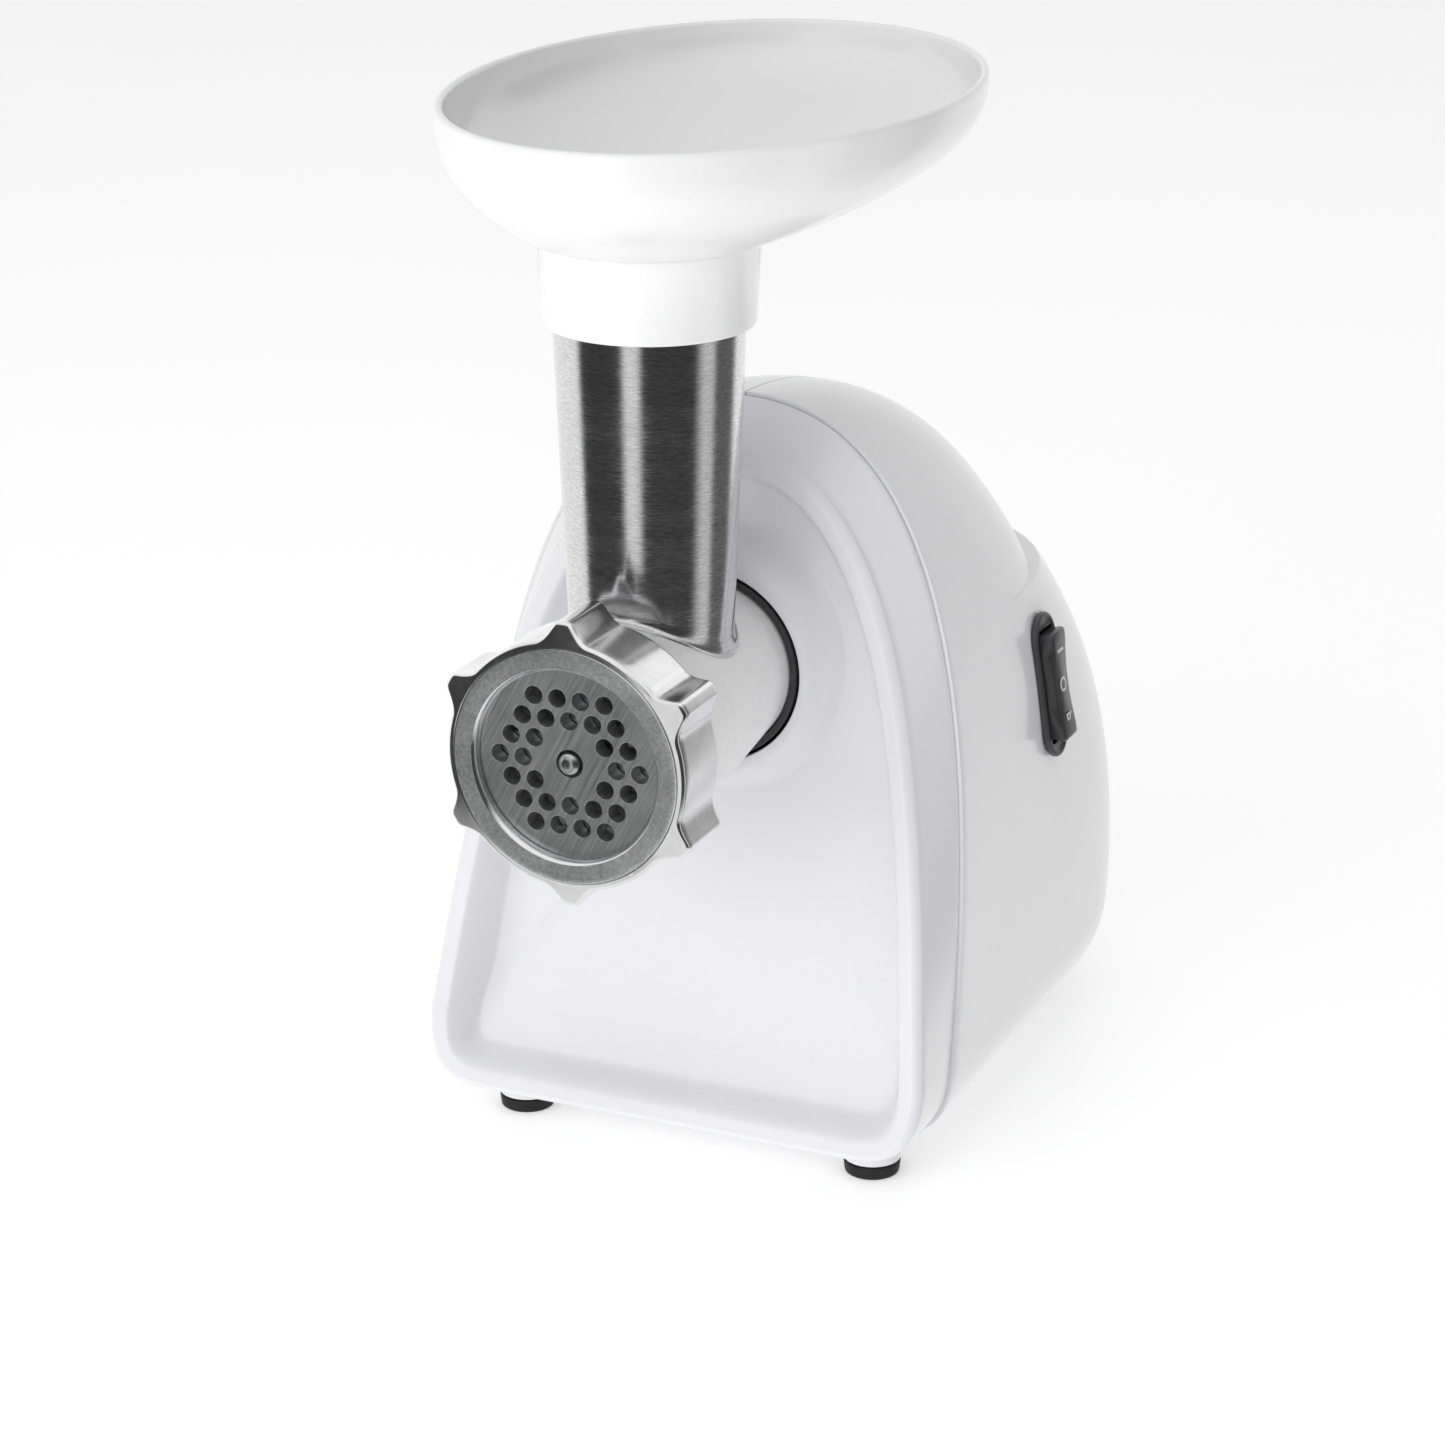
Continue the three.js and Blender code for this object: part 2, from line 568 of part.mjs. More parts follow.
function lockSocket() {
  const body = turned([
    [SOCKET_BORE_R, SOCKET_Y], [SOCKET_LIP_R, SOCKET_Y], [SOCKET_LIP_R, SOCKET_FLANGE_Y],
    [SOCKET_FLANGE_R, SOCKET_FLANGE_Y], [SOCKET_FLANGE_R, SOCKET_BACK_Y], [SOCKET_BORE_R, SOCKET_BACK_Y],
    [SOCKET_BORE_R, LEDGE_Y[1]], [SOCKET_LEDGE_R, LEDGE_Y[1]], [SOCKET_LEDGE_R, LEDGE_Y[0]],
    [SOCKET_BORE_R, LEDGE_Y[0]], [SOCKET_BORE_R, SOCKET_Y],
  ], 24);
  const notches = Array.from({ length: LUG_COUNT }, (_, i) => wedge(
    lugAngle(i) - UNLOCK_TURN, LUG_HALF_ANGLE + LUG_PLAY, 18, SOCKET_BORE_R, LEDGE_Y[0] - 1, LEDGE_Y[1] + 1));
  return moved(cut(body, ...notches), 0, 0, AXIS_Z);
}

// ---------------------------------------------------------------- grinding head

function grindingHead() {
  const barrel = moved(turned([
    [0, 0.5], [THREAD_R - 0.8, 0.5], [THREAD_R, 1.3], [THREAD_R, 14], [28.6, 16.5], [28.6, 19],
    [25.6, 50], [23.2, 72], [BARREL_REAR_R, 76], [BARREL_REAR_R, SPIGOT_STEP_Y], [SPIGOT_R, SPIGOT_STEP_Y],
    [SPIGOT_R, SPIGOT_END_Y], [0, SPIGOT_END_Y],
  ], 28), 0, 0, AXIS_Z);
  const tube = moved(turnedUpright([
    [0, AXIS_Z], [TUBE_FOOT_R, AXIS_Z], [TUBE_TOP_R, TUBE_TOP_Z], [0, TUBE_TOP_Z],
  ], 28), 0, FEED_Y, 0);
  const lugs = Array.from({ length: LUG_COUNT }, (_, i) =>
    moved(wedge(lugAngle(i), LUG_HALF_ANGLE, SPIGOT_R - 2, LUG_R, ...LUG_Y), 0, 0, AXIS_Z));
  const bore = moved(turned([
    [0, 0], [COUNTERBORE_R, 0], [COUNTERBORE_R, COUNTERBORE_END], [BORE_R, COUNTERBORE_END + 0.4],
    [BORE_R, REAR_WALL_Y], [0, REAR_WALL_Y],
  ], 24), 0, 0, AXIS_Z);
  const bushSeat = moved(rod(BUSH_R + GAP, REAR_WALL_Y - 1, SPIGOT_END_Y + 1, 20), 0, 0, AXIS_Z);
  const throat = moved(turnedUpright([
    [0, AXIS_Z], [TUBE_FOOT_R - TUBE_WALL, AXIS_Z], [TUBE_TOP_R - TUBE_WALL, TUBE_TOP_Z + 1],
    [0, TUBE_TOP_Z + 1],
  ], 24), 0, FEED_Y, 0);
  const keySeat = moved(post(1.6, AXIS_Z - THREAD_R - 1, AXIS_Z - COUNTERBORE_R + 1, 8), 0, KEY_Y, 0);
  return cut(join(barrel, tube, ...lugs), bore, bushSeat, throat, keySeat);
}

// ---------------------------------------------------------------- cutting set

const plateKey = () => moved(post(KEY_R, AXIS_Z - THREAD_R + 0.6, AXIS_Z - PLATE_R + 2, 8), 0, KEY_Y, 0);

function cuttingPlate() {
  const holes = [rod(CENTRE_HOLE_R, -1, PLATE_THICK + 1, 12)];
  for (let q = -3; q <= 3; q += 1) {
    for (let r = -3; r <= 3; r += 1) {
      const shell = Math.max(Math.abs(q), Math.abs(r), Math.abs(q + r));
      if (shell < 2 || shell > 3) continue;
      const [x, z] = [HOLE_PITCH * (q + r / 2), HOLE_PITCH * r * Math.sin(Math.PI / 3)];
      holes.push(rodAt(HOLE_R, x, z, -1, PLATE_THICK + 1, 7));
    }
  }
  const notch = block(-2, 2, -1, PLATE_THICK + 1, -PLATE_R - 1, -PLATE_R + 2.6);
  return moved(cut(rod(PLATE_R, 0, PLATE_THICK, 32), notch, ...holes), 0, 0, AXIS_Z);
}

function ringNut() {
  // degrees from a lobe's middle, and how far out it stands there
  const lobeOutline = [
    [-12.5, 0], [-9, 0.11], [-5.5, 0.44], [-2, 1], [2, 1], [5.5, 0.44], [9, 0.11], [12.5, 0],
    [21, 0], [30, 0], [39, 0],
  ];
  const points = [];
  for (let lobe = 0; lobe < NUT_LOBES; lobe += 1) {
    for (const [degrees, share] of lobeOutline) {
      points.push([THREE.MathUtils.degToRad(NUT_PHASE + (lobe * 360) / NUT_LOBES + degrees), share]);
    }
  }
  const level = (y, valley, tip) => points.map(([angle, share]) => {
    const radius = valley + share * (tip - valley);
    return [radius * Math.cos(angle), y, AXIS_Z + radius * Math.sin(angle)];
  });
  const chamfer = 0.8;
  const body = skin([
    level(FRONT_Y, NUT_FACE_R, NUT_FACE_R),
    level(NUT_EDGE_Y, NUT_R - chamfer, NUT_TIP_R - chamfer),
    level(NUT_EDGE_Y + chamfer, NUT_R, NUT_TIP_R),
    level(NUT_BACK_Y - chamfer, NUT_R, NUT_TIP_R),
    level(NUT_BACK_Y, NUT_R - chamfer, NUT_TIP_R - chamfer),
  ], false);
  const mouth = moved(turned([
    [0, FRONT_Y - 1], [NUT_MOUTH_R + 1.6, FRONT_Y - 1], [NUT_MOUTH_R + 1.2, FRONT_Y],
    [NUT_MOUTH_R, FRONT_Y + 1.6], [NUT_MOUTH_R, -GAP], [NUT_BORE_R, -GAP],
    [NUT_BORE_R, NUT_BACK_Y + 1], [0, NUT_BACK_Y + 1],
  ], 32), 0, 0, AXIS_Z);
  return cut(body, mouth);
}

// The flight: a tapered ribbon wound round the core.
function flight() {
  const turnsCount = (FLIGHT_END - FLIGHT_START) / FLIGHT_PITCH;
  const steps = Math.round(turnsCount * 11);
  const rings = [];
  for (let k = 0; k <= steps; k += 1) {
    const angle = (k / steps) * turnsCount * Math.PI * 2;
    const y = FLIGHT_START + (k / steps) * (FLIGHT_END - FLIGHT_START);
    const at = (r, dy) => [r * Math.cos(angle), y + dy, AXIS_Z + r * Math.sin(angle)];
    rings.push([at(CORE_R - 1.5, -2.6), at(FLIGHT_R, -1.1), at(FLIGHT_R, 1.1), at(CORE_R - 1.5, 2.6)]);
  }
  return skin(rings, false);
}

function feedScrew() {
  const core = moved(turned([
    [0, 10], [CORE_R, 10], [CORE_R, 60], [9.4, 75.6], [BUSH_BORE_R - 0.15, 76.4],
    [BUSH_BORE_R - 0.15, BUSH_END_Y], [5, BUSH_END_Y + 1], [5, 97], [0, 97],
  ], 16), 0, 0, AXIS_Z);
  const stud = moved(turned([
    [0, -1.6], [1.6, -1.6], [STUD_R, -0.6], [STUD_R, PLATE_THICK + 0.6], [0, PLATE_THICK + 0.6],
  ], 12), 0, 0, AXIS_Z);
  const square = block(-SQUARE, SQUARE, PLATE_THICK + 0.2, 10.5, AXIS_Z - SQUARE, AXIS_Z + SQUARE);
  return join(core, stud, square, flight());
}

function crossKnife() {
  const shape = new THREE.Shape();
  const hub = 8;
  const tip = 24;
  const points = [];
  for (let arm = 0; arm < 4; arm += 1) {
    const angle = (arm * Math.PI) / 2;
    const at = (r, side) => v2(r, side).rotateAround(v2(0, 0), angle);
    points.push(at(hub, -5), at(tip, -3.4), at(tip + 0.6, 1.5), at(hub, 3));
  }
  shape.setFromPoints(points);
  const seat = SQUARE + GAP;
  shape.holes.push(new THREE.Path([v2(-seat, -seat), v2(-seat, seat), v2(seat, seat), v2(seat, -seat)]));
  return moved(slabY(shape, PLATE_THICK + GAP, 9.6), 0, 0, AXIS_Z);
}

// ---------------------------------------------------------------- food tray

// A boat-shaped bowl whose sections are ellipses; share runs from 0 at its foot to 1 at the rim.
function bowlRing(share, wall, z) {
  const spread = 1 - (1 - share) ** BOWL_FULLNESS;
  const centre = lerp(FEED_Y, RIM_CENTRE_Y, spread);
  const halfLength = lerp(BOWL_FOOT_R, RIM_HALF_LENGTH, spread) - wall;
  const halfWidth = lerp(BOWL_FOOT_R, RIM_HALF_WIDTH, spread) - wall;
  return Array.from({ length: TRAY_SIDES }, (_, k) => {
    const angle = (k / TRAY_SIDES) * Math.PI * 2;
    return [halfWidth * Math.cos(angle), centre + halfLength * Math.sin(angle), z];
  });
}

// A round section on the feed tube's axis.
function circle(radius, z) {
  return Array.from({ length: TRAY_SIDES }, (_, k) => {
    const angle = (k / TRAY_SIDES) * Math.PI * 2;
    return [radius * Math.cos(angle), FEED_Y + radius * Math.sin(angle), z];
  });
}

function foodTray() {
  const height = TRAY_RIM_Z - COLLAR_TOP_Z;
  const floorZ = COLLAR_TOP_Z + TRAY_WALL;
  const shares = [0.08, 0.22, 0.42, 0.7];
  const outer = shares.map((share) => bowlRing(share, 0, COLLAR_TOP_Z + share * height));
  const inner = shares.map((share) => bowlRing(share, TRAY_WALL, floorZ + share * (height - TRAY_WALL)));
  return skin([
    circle(COLLAR_FLOOR_R - 1.4, COLLAR_FLOOR_Z),
    circle(COLLAR_FLOOR_R - 0.5, COLLAR_FLOOR_Z),
    circle(COLLAR_FLOOR_R, COLLAR_FLOOR_Z + 0.8),
    circle(COLLAR_TOP_R, COLLAR_TOP_Z),
    bowlRing(0, 0, COLLAR_TOP_Z + 0.2),
    ...outer,
    bowlRing(1, 0.2, TRAY_RIM_Z - 0.6),
    bowlRing(1, 1.1, TRAY_RIM_Z),
    bowlRing(1, TRAY_WALL, TRAY_RIM_Z - 0.6),
    ...inner.reverse(),
    bowlRing(0, TRAY_WALL + 1, floorZ + 0.2),
    circle(THROAT_R, COLLAR_TOP_Z),
    circle(THROAT_R, TUBE_TOP_Z + GAP),
    circle(TUBE_TOP_R + GAP + 0.2, TUBE_TOP_Z + GAP),
  ], true);
}

// ---------------------------------------------------------------- gear train

// A spur gear's outline; a tooth is centred on the phase angle, measured from +X to +Z.
function gearShape(teeth, modulus, phase, boreR, boreSides) {
  const pitchR = (teeth * modulus) / 2;
  const thin = 0.86;
  const half = (share) => (share * thin * Math.PI) / teeth;
  const [root, tip] = [pitchR - 1.2 * modulus, pitchR + 0.92 * modulus];
  const profile = [[root, -0.7], [tip, -0.24], [tip, 0.24], [root, 0.7]];
  const shape = new THREE.Shape();
  for (let tooth = 0; tooth < teeth; tooth += 1) {
    profile.forEach(([radius, share], i) => {
      const angle = phase + (tooth * Math.PI * 2) / teeth + half(share);
      const [x, z] = [radius * Math.cos(angle), radius * Math.sin(angle)];
      if (tooth || i) shape.lineTo(x, z);
      else shape.moveTo(x, z);
    });
  }
  const bore = new THREE.Path();
  for (let k = 0; k < boreSides; k += 1) {
    const angle = (-k * Math.PI * 2) / boreSides;
    const [x, z] = [boreR * Math.cos(angle), boreR * Math.sin(angle)];
    if (k) bore.lineTo(x, z);
    else bore.moveTo(x, z);
  }
  shape.holes.push(bore);
  return shape;
}

// The wheel shows a gap where the pinion's tooth points at it.
const idlerBearing = Math.atan2(AXIS_Z - IDLER_Z, -IDLER_X);
const motorBearing = Math.atan2(MOTOR_Z - IDLER_Z, -IDLER_X);
const halfPitch = (teeth) => Math.PI / teeth;

function outputGear() {
  const phase = idlerBearing + Math.PI + halfPitch(OUTPUT_TEETH);
  const shape = gearShape(OUTPUT_TEETH, OUTPUT_MODULE, phase, SHAFT_R + GAP, 12);
  return moved(slabY(shape, ...OUTPUT_GEAR_Y), 0, 0, AXIS_Z);
}

function idlerGear() {
  const wheelPhase = motorBearing + halfPitch(OUTPUT_TEETH);
  const wheel = gearShape(OUTPUT_TEETH, FIRST_MODULE, wheelPhase, IDLER_PIN_R + GAP, 10);
  const pinion = gearShape(PINION_TEETH, OUTPUT_MODULE, idlerBearing, IDLER_PIN_R + GAP, 10);
  const small = slabY(pinion, OUTPUT_GEAR_Y[0] - 0.5, FIRST_GEAR_Y[0] + 0.5);
  return moved(join(slabY(wheel, ...FIRST_GEAR_Y), small), IDLER_X, 0, IDLER_Z);
}

function motorPinion() {
  const shape = gearShape(PINION_TEETH, FIRST_MODULE, motorBearing + Math.PI, ROTOR_SHAFT_R + GAP / 2, 10);
  return moved(slabY(shape, FIRST_GEAR_Y[0] - 1, FIRST_GEAR_Y[1] + 0.6), 0, 0, MOTOR_Z);
}

function outputShaft() {
  const body = turned([
    [0, 97.4], [5.6, 97.4], [5.6, 88.2], [9.6, 88.2], [9.6, 100], [SHAFT_R, 100.6], [SHAFT_R, 124], [0, 124],
  ], 16);
  return moved(body, 0, 0, AXIS_Z);
}

// The gearbox's flat outline, round the output shaft and the motor.
function gearCaseShape(grow) {
  const shape = new THREE.Shape();
  const [upper, lower] = [36 + grow, 31.5 + grow];
  shape.absarc(0, 0, upper, -0.12, Math.PI + 0.12, false);
  shape.absarc(0, MOTOR_Z - AXIS_Z, lower, Math.PI + 0.12, Math.PI * 2 - 0.12, false);
  return shape;
}

function gearPlate() {
  const [y0, y1] = [CASE_FRONT_Y, CASE_FRONT_Y + CASE_PLATE];
  const ears = CASE_SCREWS.map(([x, z]) => rodAt(CASE_EAR_R, x, z, y0, y1));
  const holes = CASE_SCREWS.map(([x, z]) => rodAt(SCREW_R + GAP, x, z, y0 - 1, y1 + 1));
  const body = join(slabY(gearCaseShape(CASE_WALL), y0, y1, 7), ...ears);
  const shaftHole = rod(BEARING_R + GAP, y0 - 1, y1 + 1);
  return moved(cut(body, ...holes, shaftHole), 0, 0, AXIS_Z);
}

function gearCover() {
  const y0 = CASE_FRONT_Y + CASE_PLATE + GAP;
  const ears = CASE_SCREWS.map(([x, z]) => rodAt(CASE_EAR_R, x, z, y0, y0 + 6));
  const holes = CASE_SCREWS.map(([x, z]) => rodAt(SCREW_R + GAP, x, z, y0 - 1, y0 + 9));
  const body = join(slabY(gearCaseShape(CASE_WALL), y0, CASE_BACK_Y, 7), ...ears);
  const hollow = slabY(gearCaseShape(0), y0 - 1, CASE_BACK_Y - 2.5, 7);
  const motorHole = rodAt(7.4, 0, MOTOR_Z - AXIS_Z, CASE_BACK_Y - 4, CASE_BACK_Y + 1, 16);
  return moved(cut(body, hollow, ...holes, motorHole), 0, 0, AXIS_Z);
}

// ---------------------------------------------------------------- motor

const aboutMotor = (body) => moved(body, 0, 0, MOTOR_Z);

function statorCore() {
  const shape = new THREE.Shape();
  const [halfWidth, halfHeight, corner] = [30, 26, 8];
  shape.moveTo(-halfWidth + corner, -halfHeight);
  shape.lineTo(halfWidth - corner, -halfHeight);
  shape.lineTo(halfWidth, -halfHeight + corner);
  shape.lineTo(halfWidth, halfHeight - corner);
  shape.lineTo(halfWidth - corner, halfHeight);
  shape.lineTo(-halfWidth + corner, halfHeight);
  shape.lineTo(-halfWidth, halfHeight - corner);
  shape.lineTo(-halfWidth, -halfHeight + corner);
  const body = slabY(shape, ...STATOR_Y);
  const bore = rod(ARMATURE_R + 0.7, STATOR_Y[0] - 1, STATOR_Y[1] + 1, 24);
  const widened = ([low, high], by) => [low - by, high + by];
  const windows = [-1, 1].flatMap((side) => [-1, 1].map((half) =>
    quadrant(side, half, widened(COIL_SIDE, GAP), widened(STATOR_Y, 2), widened(COIL_Z, GAP))));
  return aboutMotor(cut(body, bore, ...windows));
}

// A box in one quadrant round the motor axis, its spans given for the +X, +Z quadrant.
function quadrant(side, half, [x0, x1], [y0, y1], [z0, z1]) {
  const [left, right] = side > 0 ? [x0, x1] : [-x1, -x0];
  const [low, high] = half > 0 ? [z0, z1] : [-z1, -z0];
  return block(left, right, y0, y1, low, high);
}

// A field coil: its long sides lie in the core's windows and its ends arch over the armature.
function fieldCoil(half) {
  const [y0, y1] = [STATOR_Y[0] - 6, STATOR_Y[1] + 7];
  const flanks = [-1, 1].map((side) => quadrant(side, half, COIL_SIDE, [y0, y1], COIL_Z));
  const arches = [y0, y1 - 4].map((y) =>
    quadrant(1, half, [-COIL_SIDE[1], COIL_SIDE[1]], [y, y + 4], [COIL_Z[1] - 3.6, COIL_Z[1]]));
  return aboutMotor(join(...flanks, ...arches));
}

const endBracket = () => aboutMotor(join(
  cut(block(-34, 34, 199, 202, -9, 9), rod(BRACKET_BORE_R, 190, 210)),
  cut(rod(11, 196, 204), rod(BRACKET_BORE_R, 190, 210)),
  ...[-1, 1].map((side) => block(side * 32 - 2, side * 32 + 2, STATOR_Y[0] + 2, 202, -9, 9)),
));

const bearing = (outer, inner, y0, y1) => ring(inner, outer, y0, y1, 16);

function brushHolder(side) {
  const sleeve = cut(block(13, 30, 184, 194, -5.4, 5.4), block(12, 31, 186.4, 191.6, -3, 3));
  return aboutMotor(side > 0 ? sleeve : sleeve.mirror([1, 0, 0]));
}

function carbonBrush(side) {
  const brush = block(9.6, 24, 186.7, 191.3, -2.7, 2.7);
  return aboutMotor(side > 0 ? brush : brush.mirror([1, 0, 0]));
}

const rotorShaft = () => aboutMotor(rod(ROTOR_SHAFT_R, 113, 206, 10));

function armature() {
  const shape = new THREE.Shape();
  const slots = 9;
  for (let k = 0; k < slots; k += 1) {
    for (const [share, radius] of [[-0.38, ARMATURE_R], [0.38, ARMATURE_R], [0.44, 13.6], [0.56, 13.6]]) {
      const angle = ((k + share) * Math.PI * 2) / slots;
      const [x, z] = [radius * Math.cos(angle), radius * Math.sin(angle)];
      if (k || share > -0.38) shape.lineTo(x, z);
      else shape.moveTo(x, z);
    }
  }
  const windings = rod(13, STATOR_Y[0] - 4, STATOR_Y[1] + 4, 14);
  const bore = rod(ROTOR_SHAFT_R + GAP / 2, STATOR_Y[0] - 10, STATOR_Y[1] + 10, 10);
  return aboutMotor(cut(join(slabY(shape, ...STATOR_Y), windings), bore));
}

const commutator = () => aboutMotor(ring(ROTOR_SHAFT_R + GAP / 2, 9.2, ...COMMUTATOR_Y, 20));

function coolingFan() {
  const [y0, y1] = FAN_Y;
  const hub = rod(9, y0, y1, 12);
  const disc = rod(24, y0, y0 + 1.2, 20);
  const blades = Array.from({ length: 6 }, (_, k) =>
    block(7, 23.4, y0 + 0.4, y1, -0.7, 0.7).rotate([0, k * 60, 0]));
  return aboutMotor(cut(join(hub, disc, ...blades), rod(ROTOR_SHAFT_R + GAP / 2, y0 - 1, y1 + 1, 10)));
}

// ---------------------------------------------------------------- switch and cord grommet

function switchBody() {
  const flange = switchOval(SWITCH_HALF_WIDTH, SWITCH_HALF_HEIGHT, 0.5, 2);
  const neck = switchOval(SWITCH_HALF_WIDTH - 1.5, SWITCH_HALF_HEIGHT - 1.5, -18, 1);
  const well = block(-13, 6, -ROCKER_HALF_WIDTH - GAP, ROCKER_HALF_WIDTH + GAP, -15.6, 15.6);
  return inSwitchFrame(cut(join(flange, neck), well));
}

// The rocker: a dished paddle that tips about a pin along Y, shown in its middle position.
function switchRocker() {
  const shape = new THREE.Shape();
  shape.moveTo(-2, -12.4);
  shape.lineTo(ROCKER_REACH, -15);
  shape.quadraticCurveTo(ROCKER_REACH - 1.6, 0, ROCKER_REACH, 15);
  shape.lineTo(-2, 12.4);
  shape.lineTo(-6, 3);
  shape.lineTo(-6, -3);
  const body = slabY(shape, -ROCKER_HALF_WIDTH, ROCKER_HALF_WIDTH, 6);
  return inSwitchFrame(body);
}

function cordGrommet() {
  return moved(turned([
    [3.8, 226], [GROMMET_NECK_R, 226], [GROMMET_NECK_R, 237.2], [8.6, 237.2], [8.6, BACK_Y - 0.8],
    [7.6, BACK_Y], [3.8, BACK_Y], [3.8, 226],
  ], 16), 0, 0, GROMMET_Z);
}

// ---------------------------------------------------------------- the whole object
const grinder = new THREE.Group();
grinder.position.y = -(FRONT_Y + BACK_Y) / 2;

function add(name, body, material) {
  const { vertProperties, triVerts } = body.getMesh();
  const geometry = new THREE.BufferGeometry();
  geometry.setAttribute('position', new THREE.BufferAttribute(vertProperties, 3));
  geometry.setIndex(new THREE.BufferAttribute(triVerts, 1));
  geometry.computeVertexNormals();
  const mesh = new THREE.Mesh(geometry, material);
  mesh.name = name;
  grinder.add(mesh);
}

const sides = [['left', -1], ['right', 1]];
const shells = rearShells();
add('front_cover', frontCover(), whitePlastic);
add('rear_shell_right', shells.right, whitePlastic);
add('rear_shell_left', shells.left, whitePlastic);
add('base_plate', basePlate(), whitePlastic);
BASE_SCREWS.forEach(([x, y], i) =>
  add(`base_screw_${i + 1}`, uprightScrew(x, y, BASE_Z - SCREW_HEAD - GAP, 12), zincSteel));
for (const [side, sign] of sides) {
  add(`foot_pad_front_${side}`, footPad(sign * FOOT_X, FRONT_FOOT_Y), blackRubber);
  add(`foot_pad_rear_${side}`, footPad(sign * REAR_FOOT_X, REAR_FOOT_Y), blackRubber);
}
add('lock_socket', lockSocket(), blackPlastic);
add('gearbox_plate', gearPlate(), castAluminium);
add('gearbox_cover', gearCover(), castAluminium);
CASE_SCREWS.forEach(([x, z], i) =>
  add(`gearbox_screw_${i + 1}`, screwY(x, AXIS_Z + z, CASE_FRONT_Y - SCREW_HEAD - GAP, 11), zincSteel));
add('output_bearing_front', moved(bearing(BEARING_R, SHAFT_R + GAP, 100.9, 103.7), 0, 0, AXIS_Z), zincSteel);
add('output_bearing_rear', moved(bearing(BEARING_R, SHAFT_R + GAP, 118, 124), 0, 0, AXIS_Z), zincSteel);
add('idler_pin', rodAt(IDLER_PIN_R, IDLER_X, IDLER_Z, 102, 125), zincSteel);
add('idler_gear', idlerGear(), gearNylon);
add('output_gear', outputGear(), gearNylon);
add('output_shaft', outputShaft(), zincSteel);
add('motor_pinion', motorPinion(), zincSteel);
add('rotor_shaft', rotorShaft(), zincSteel);
add('armature', armature(), laminatedSteel);
add('commutator', commutator(), copperWire);
add('cooling_fan', coolingFan(), blackPlastic);
add('stator_core', statorCore(), laminatedSteel);
add('field_coil_upper', fieldCoil(1), copperWire);
add('field_coil_lower', fieldCoil(-1), copperWire);
add('motor_end_bracket', endBracket(), zincSteel);
const motorBearings = [['front', 125.8, 130], ['rear', 197, 203]];
for (const [end, y0, y1] of motorBearings) {
  const race = bearing(BRACKET_BORE_R - GAP, ROTOR_SHAFT_R + GAP, y0, y1);
  add(`motor_bearing_${end}`, aboutMotor(race), zincSteel);
}
for (const [side, sign] of sides) {
  add(`brush_holder_${side}`, brushHolder(sign), blackPlastic);
  add(`carbon_brush_${side}`, carbonBrush(sign), carbon);
}
add('switch_body', switchBody(), blackPlastic);
add('switch_rocker', switchRocker(), blackPlastic);
add('cord_grommet', cordGrommet(), blackRubber);
add('grinding_head', grindingHead(), castAluminium);
add('plate_key', plateKey(), zincSteel);
add('screw_bush', moved(ring(BUSH_BORE_R, BUSH_R, REAR_WALL_Y, BUSH_END_Y, 20), 0, 0, AXIS_Z), gearNylon);
add('feed_screw', feedScrew(), castAluminium);
add('cross_knife', crossKnife(), brushedSteel);
add('cutting_plate', cuttingPlate(), brushedSteel);
add('ring_nut', ringNut(), castAluminium);
add('food_tray', foodTray(), whitePlastic);

export default grinder;
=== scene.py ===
"""Electric meat grinder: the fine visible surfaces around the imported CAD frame, with its materials,
a plain studio and the camera. Lengths in the shape functions are in millimetres in the plate
frame: y = 0 is the front face of the cutting plate, z = 0 the surface that the feet stand on.
"""
import json
import math

import bmesh
import bpy
import numpy as np
from mathutils import Matrix, Vector


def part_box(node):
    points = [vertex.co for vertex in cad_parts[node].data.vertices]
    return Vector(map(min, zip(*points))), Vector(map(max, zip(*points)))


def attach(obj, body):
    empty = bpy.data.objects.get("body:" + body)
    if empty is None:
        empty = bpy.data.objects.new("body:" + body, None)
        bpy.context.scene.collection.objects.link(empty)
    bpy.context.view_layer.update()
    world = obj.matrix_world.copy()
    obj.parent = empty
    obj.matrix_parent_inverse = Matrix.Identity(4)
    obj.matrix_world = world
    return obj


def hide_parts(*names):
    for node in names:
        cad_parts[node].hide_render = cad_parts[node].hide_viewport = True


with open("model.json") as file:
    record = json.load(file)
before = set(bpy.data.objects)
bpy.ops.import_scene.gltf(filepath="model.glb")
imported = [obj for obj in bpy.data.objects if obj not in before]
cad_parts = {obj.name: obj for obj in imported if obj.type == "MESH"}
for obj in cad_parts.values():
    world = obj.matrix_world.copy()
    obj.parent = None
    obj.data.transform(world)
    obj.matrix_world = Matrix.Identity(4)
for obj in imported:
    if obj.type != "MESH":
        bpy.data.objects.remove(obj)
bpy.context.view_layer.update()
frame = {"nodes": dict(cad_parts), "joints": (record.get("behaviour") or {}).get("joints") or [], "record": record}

MM = 0.001
NODES = frame["nodes"]
JOINTS = {joint["name"]: joint for joint in frame["joints"]}
FACE_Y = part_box("cutting_plate")[0].y
AXIS_Z = JOINTS["screw_spin"]["pos_m"][2] / MM

# ---------------------------------------------------------------- driving dimensions
GAP = 0.3
WALL = 2.5
FEED_Y = 46.1

RIM_Y, RIM_Z, RIM_LEAN = 52.5, 25.0, 0.223
SEAM_Y, SEAM_Z, SEAM_LEAN = 77.0, 12.0, 0.1405
SEAM_FLOOR, SEAM_TOP = 9.0, 193.5
RIM_FLOOR, RIM_TOP = 11.6, 184.0
PANEL_Y, PANEL_Z, PANEL_LEAN = 73.3, 56.0, 0.165
SCOOP_Y, SCOOP_Z, SCOOP_SLOPE, SCOOP_BLEND = 56.0, 15.0, 0.6, 1.6
BOSS_Y, BOSS_R, BOSS_FILLET = 78.0, 27.0, 9.0
SOCKET_HOLE_R = 25.5
SHELF_Z = 134.0
SIDE_TAPER = 0.03

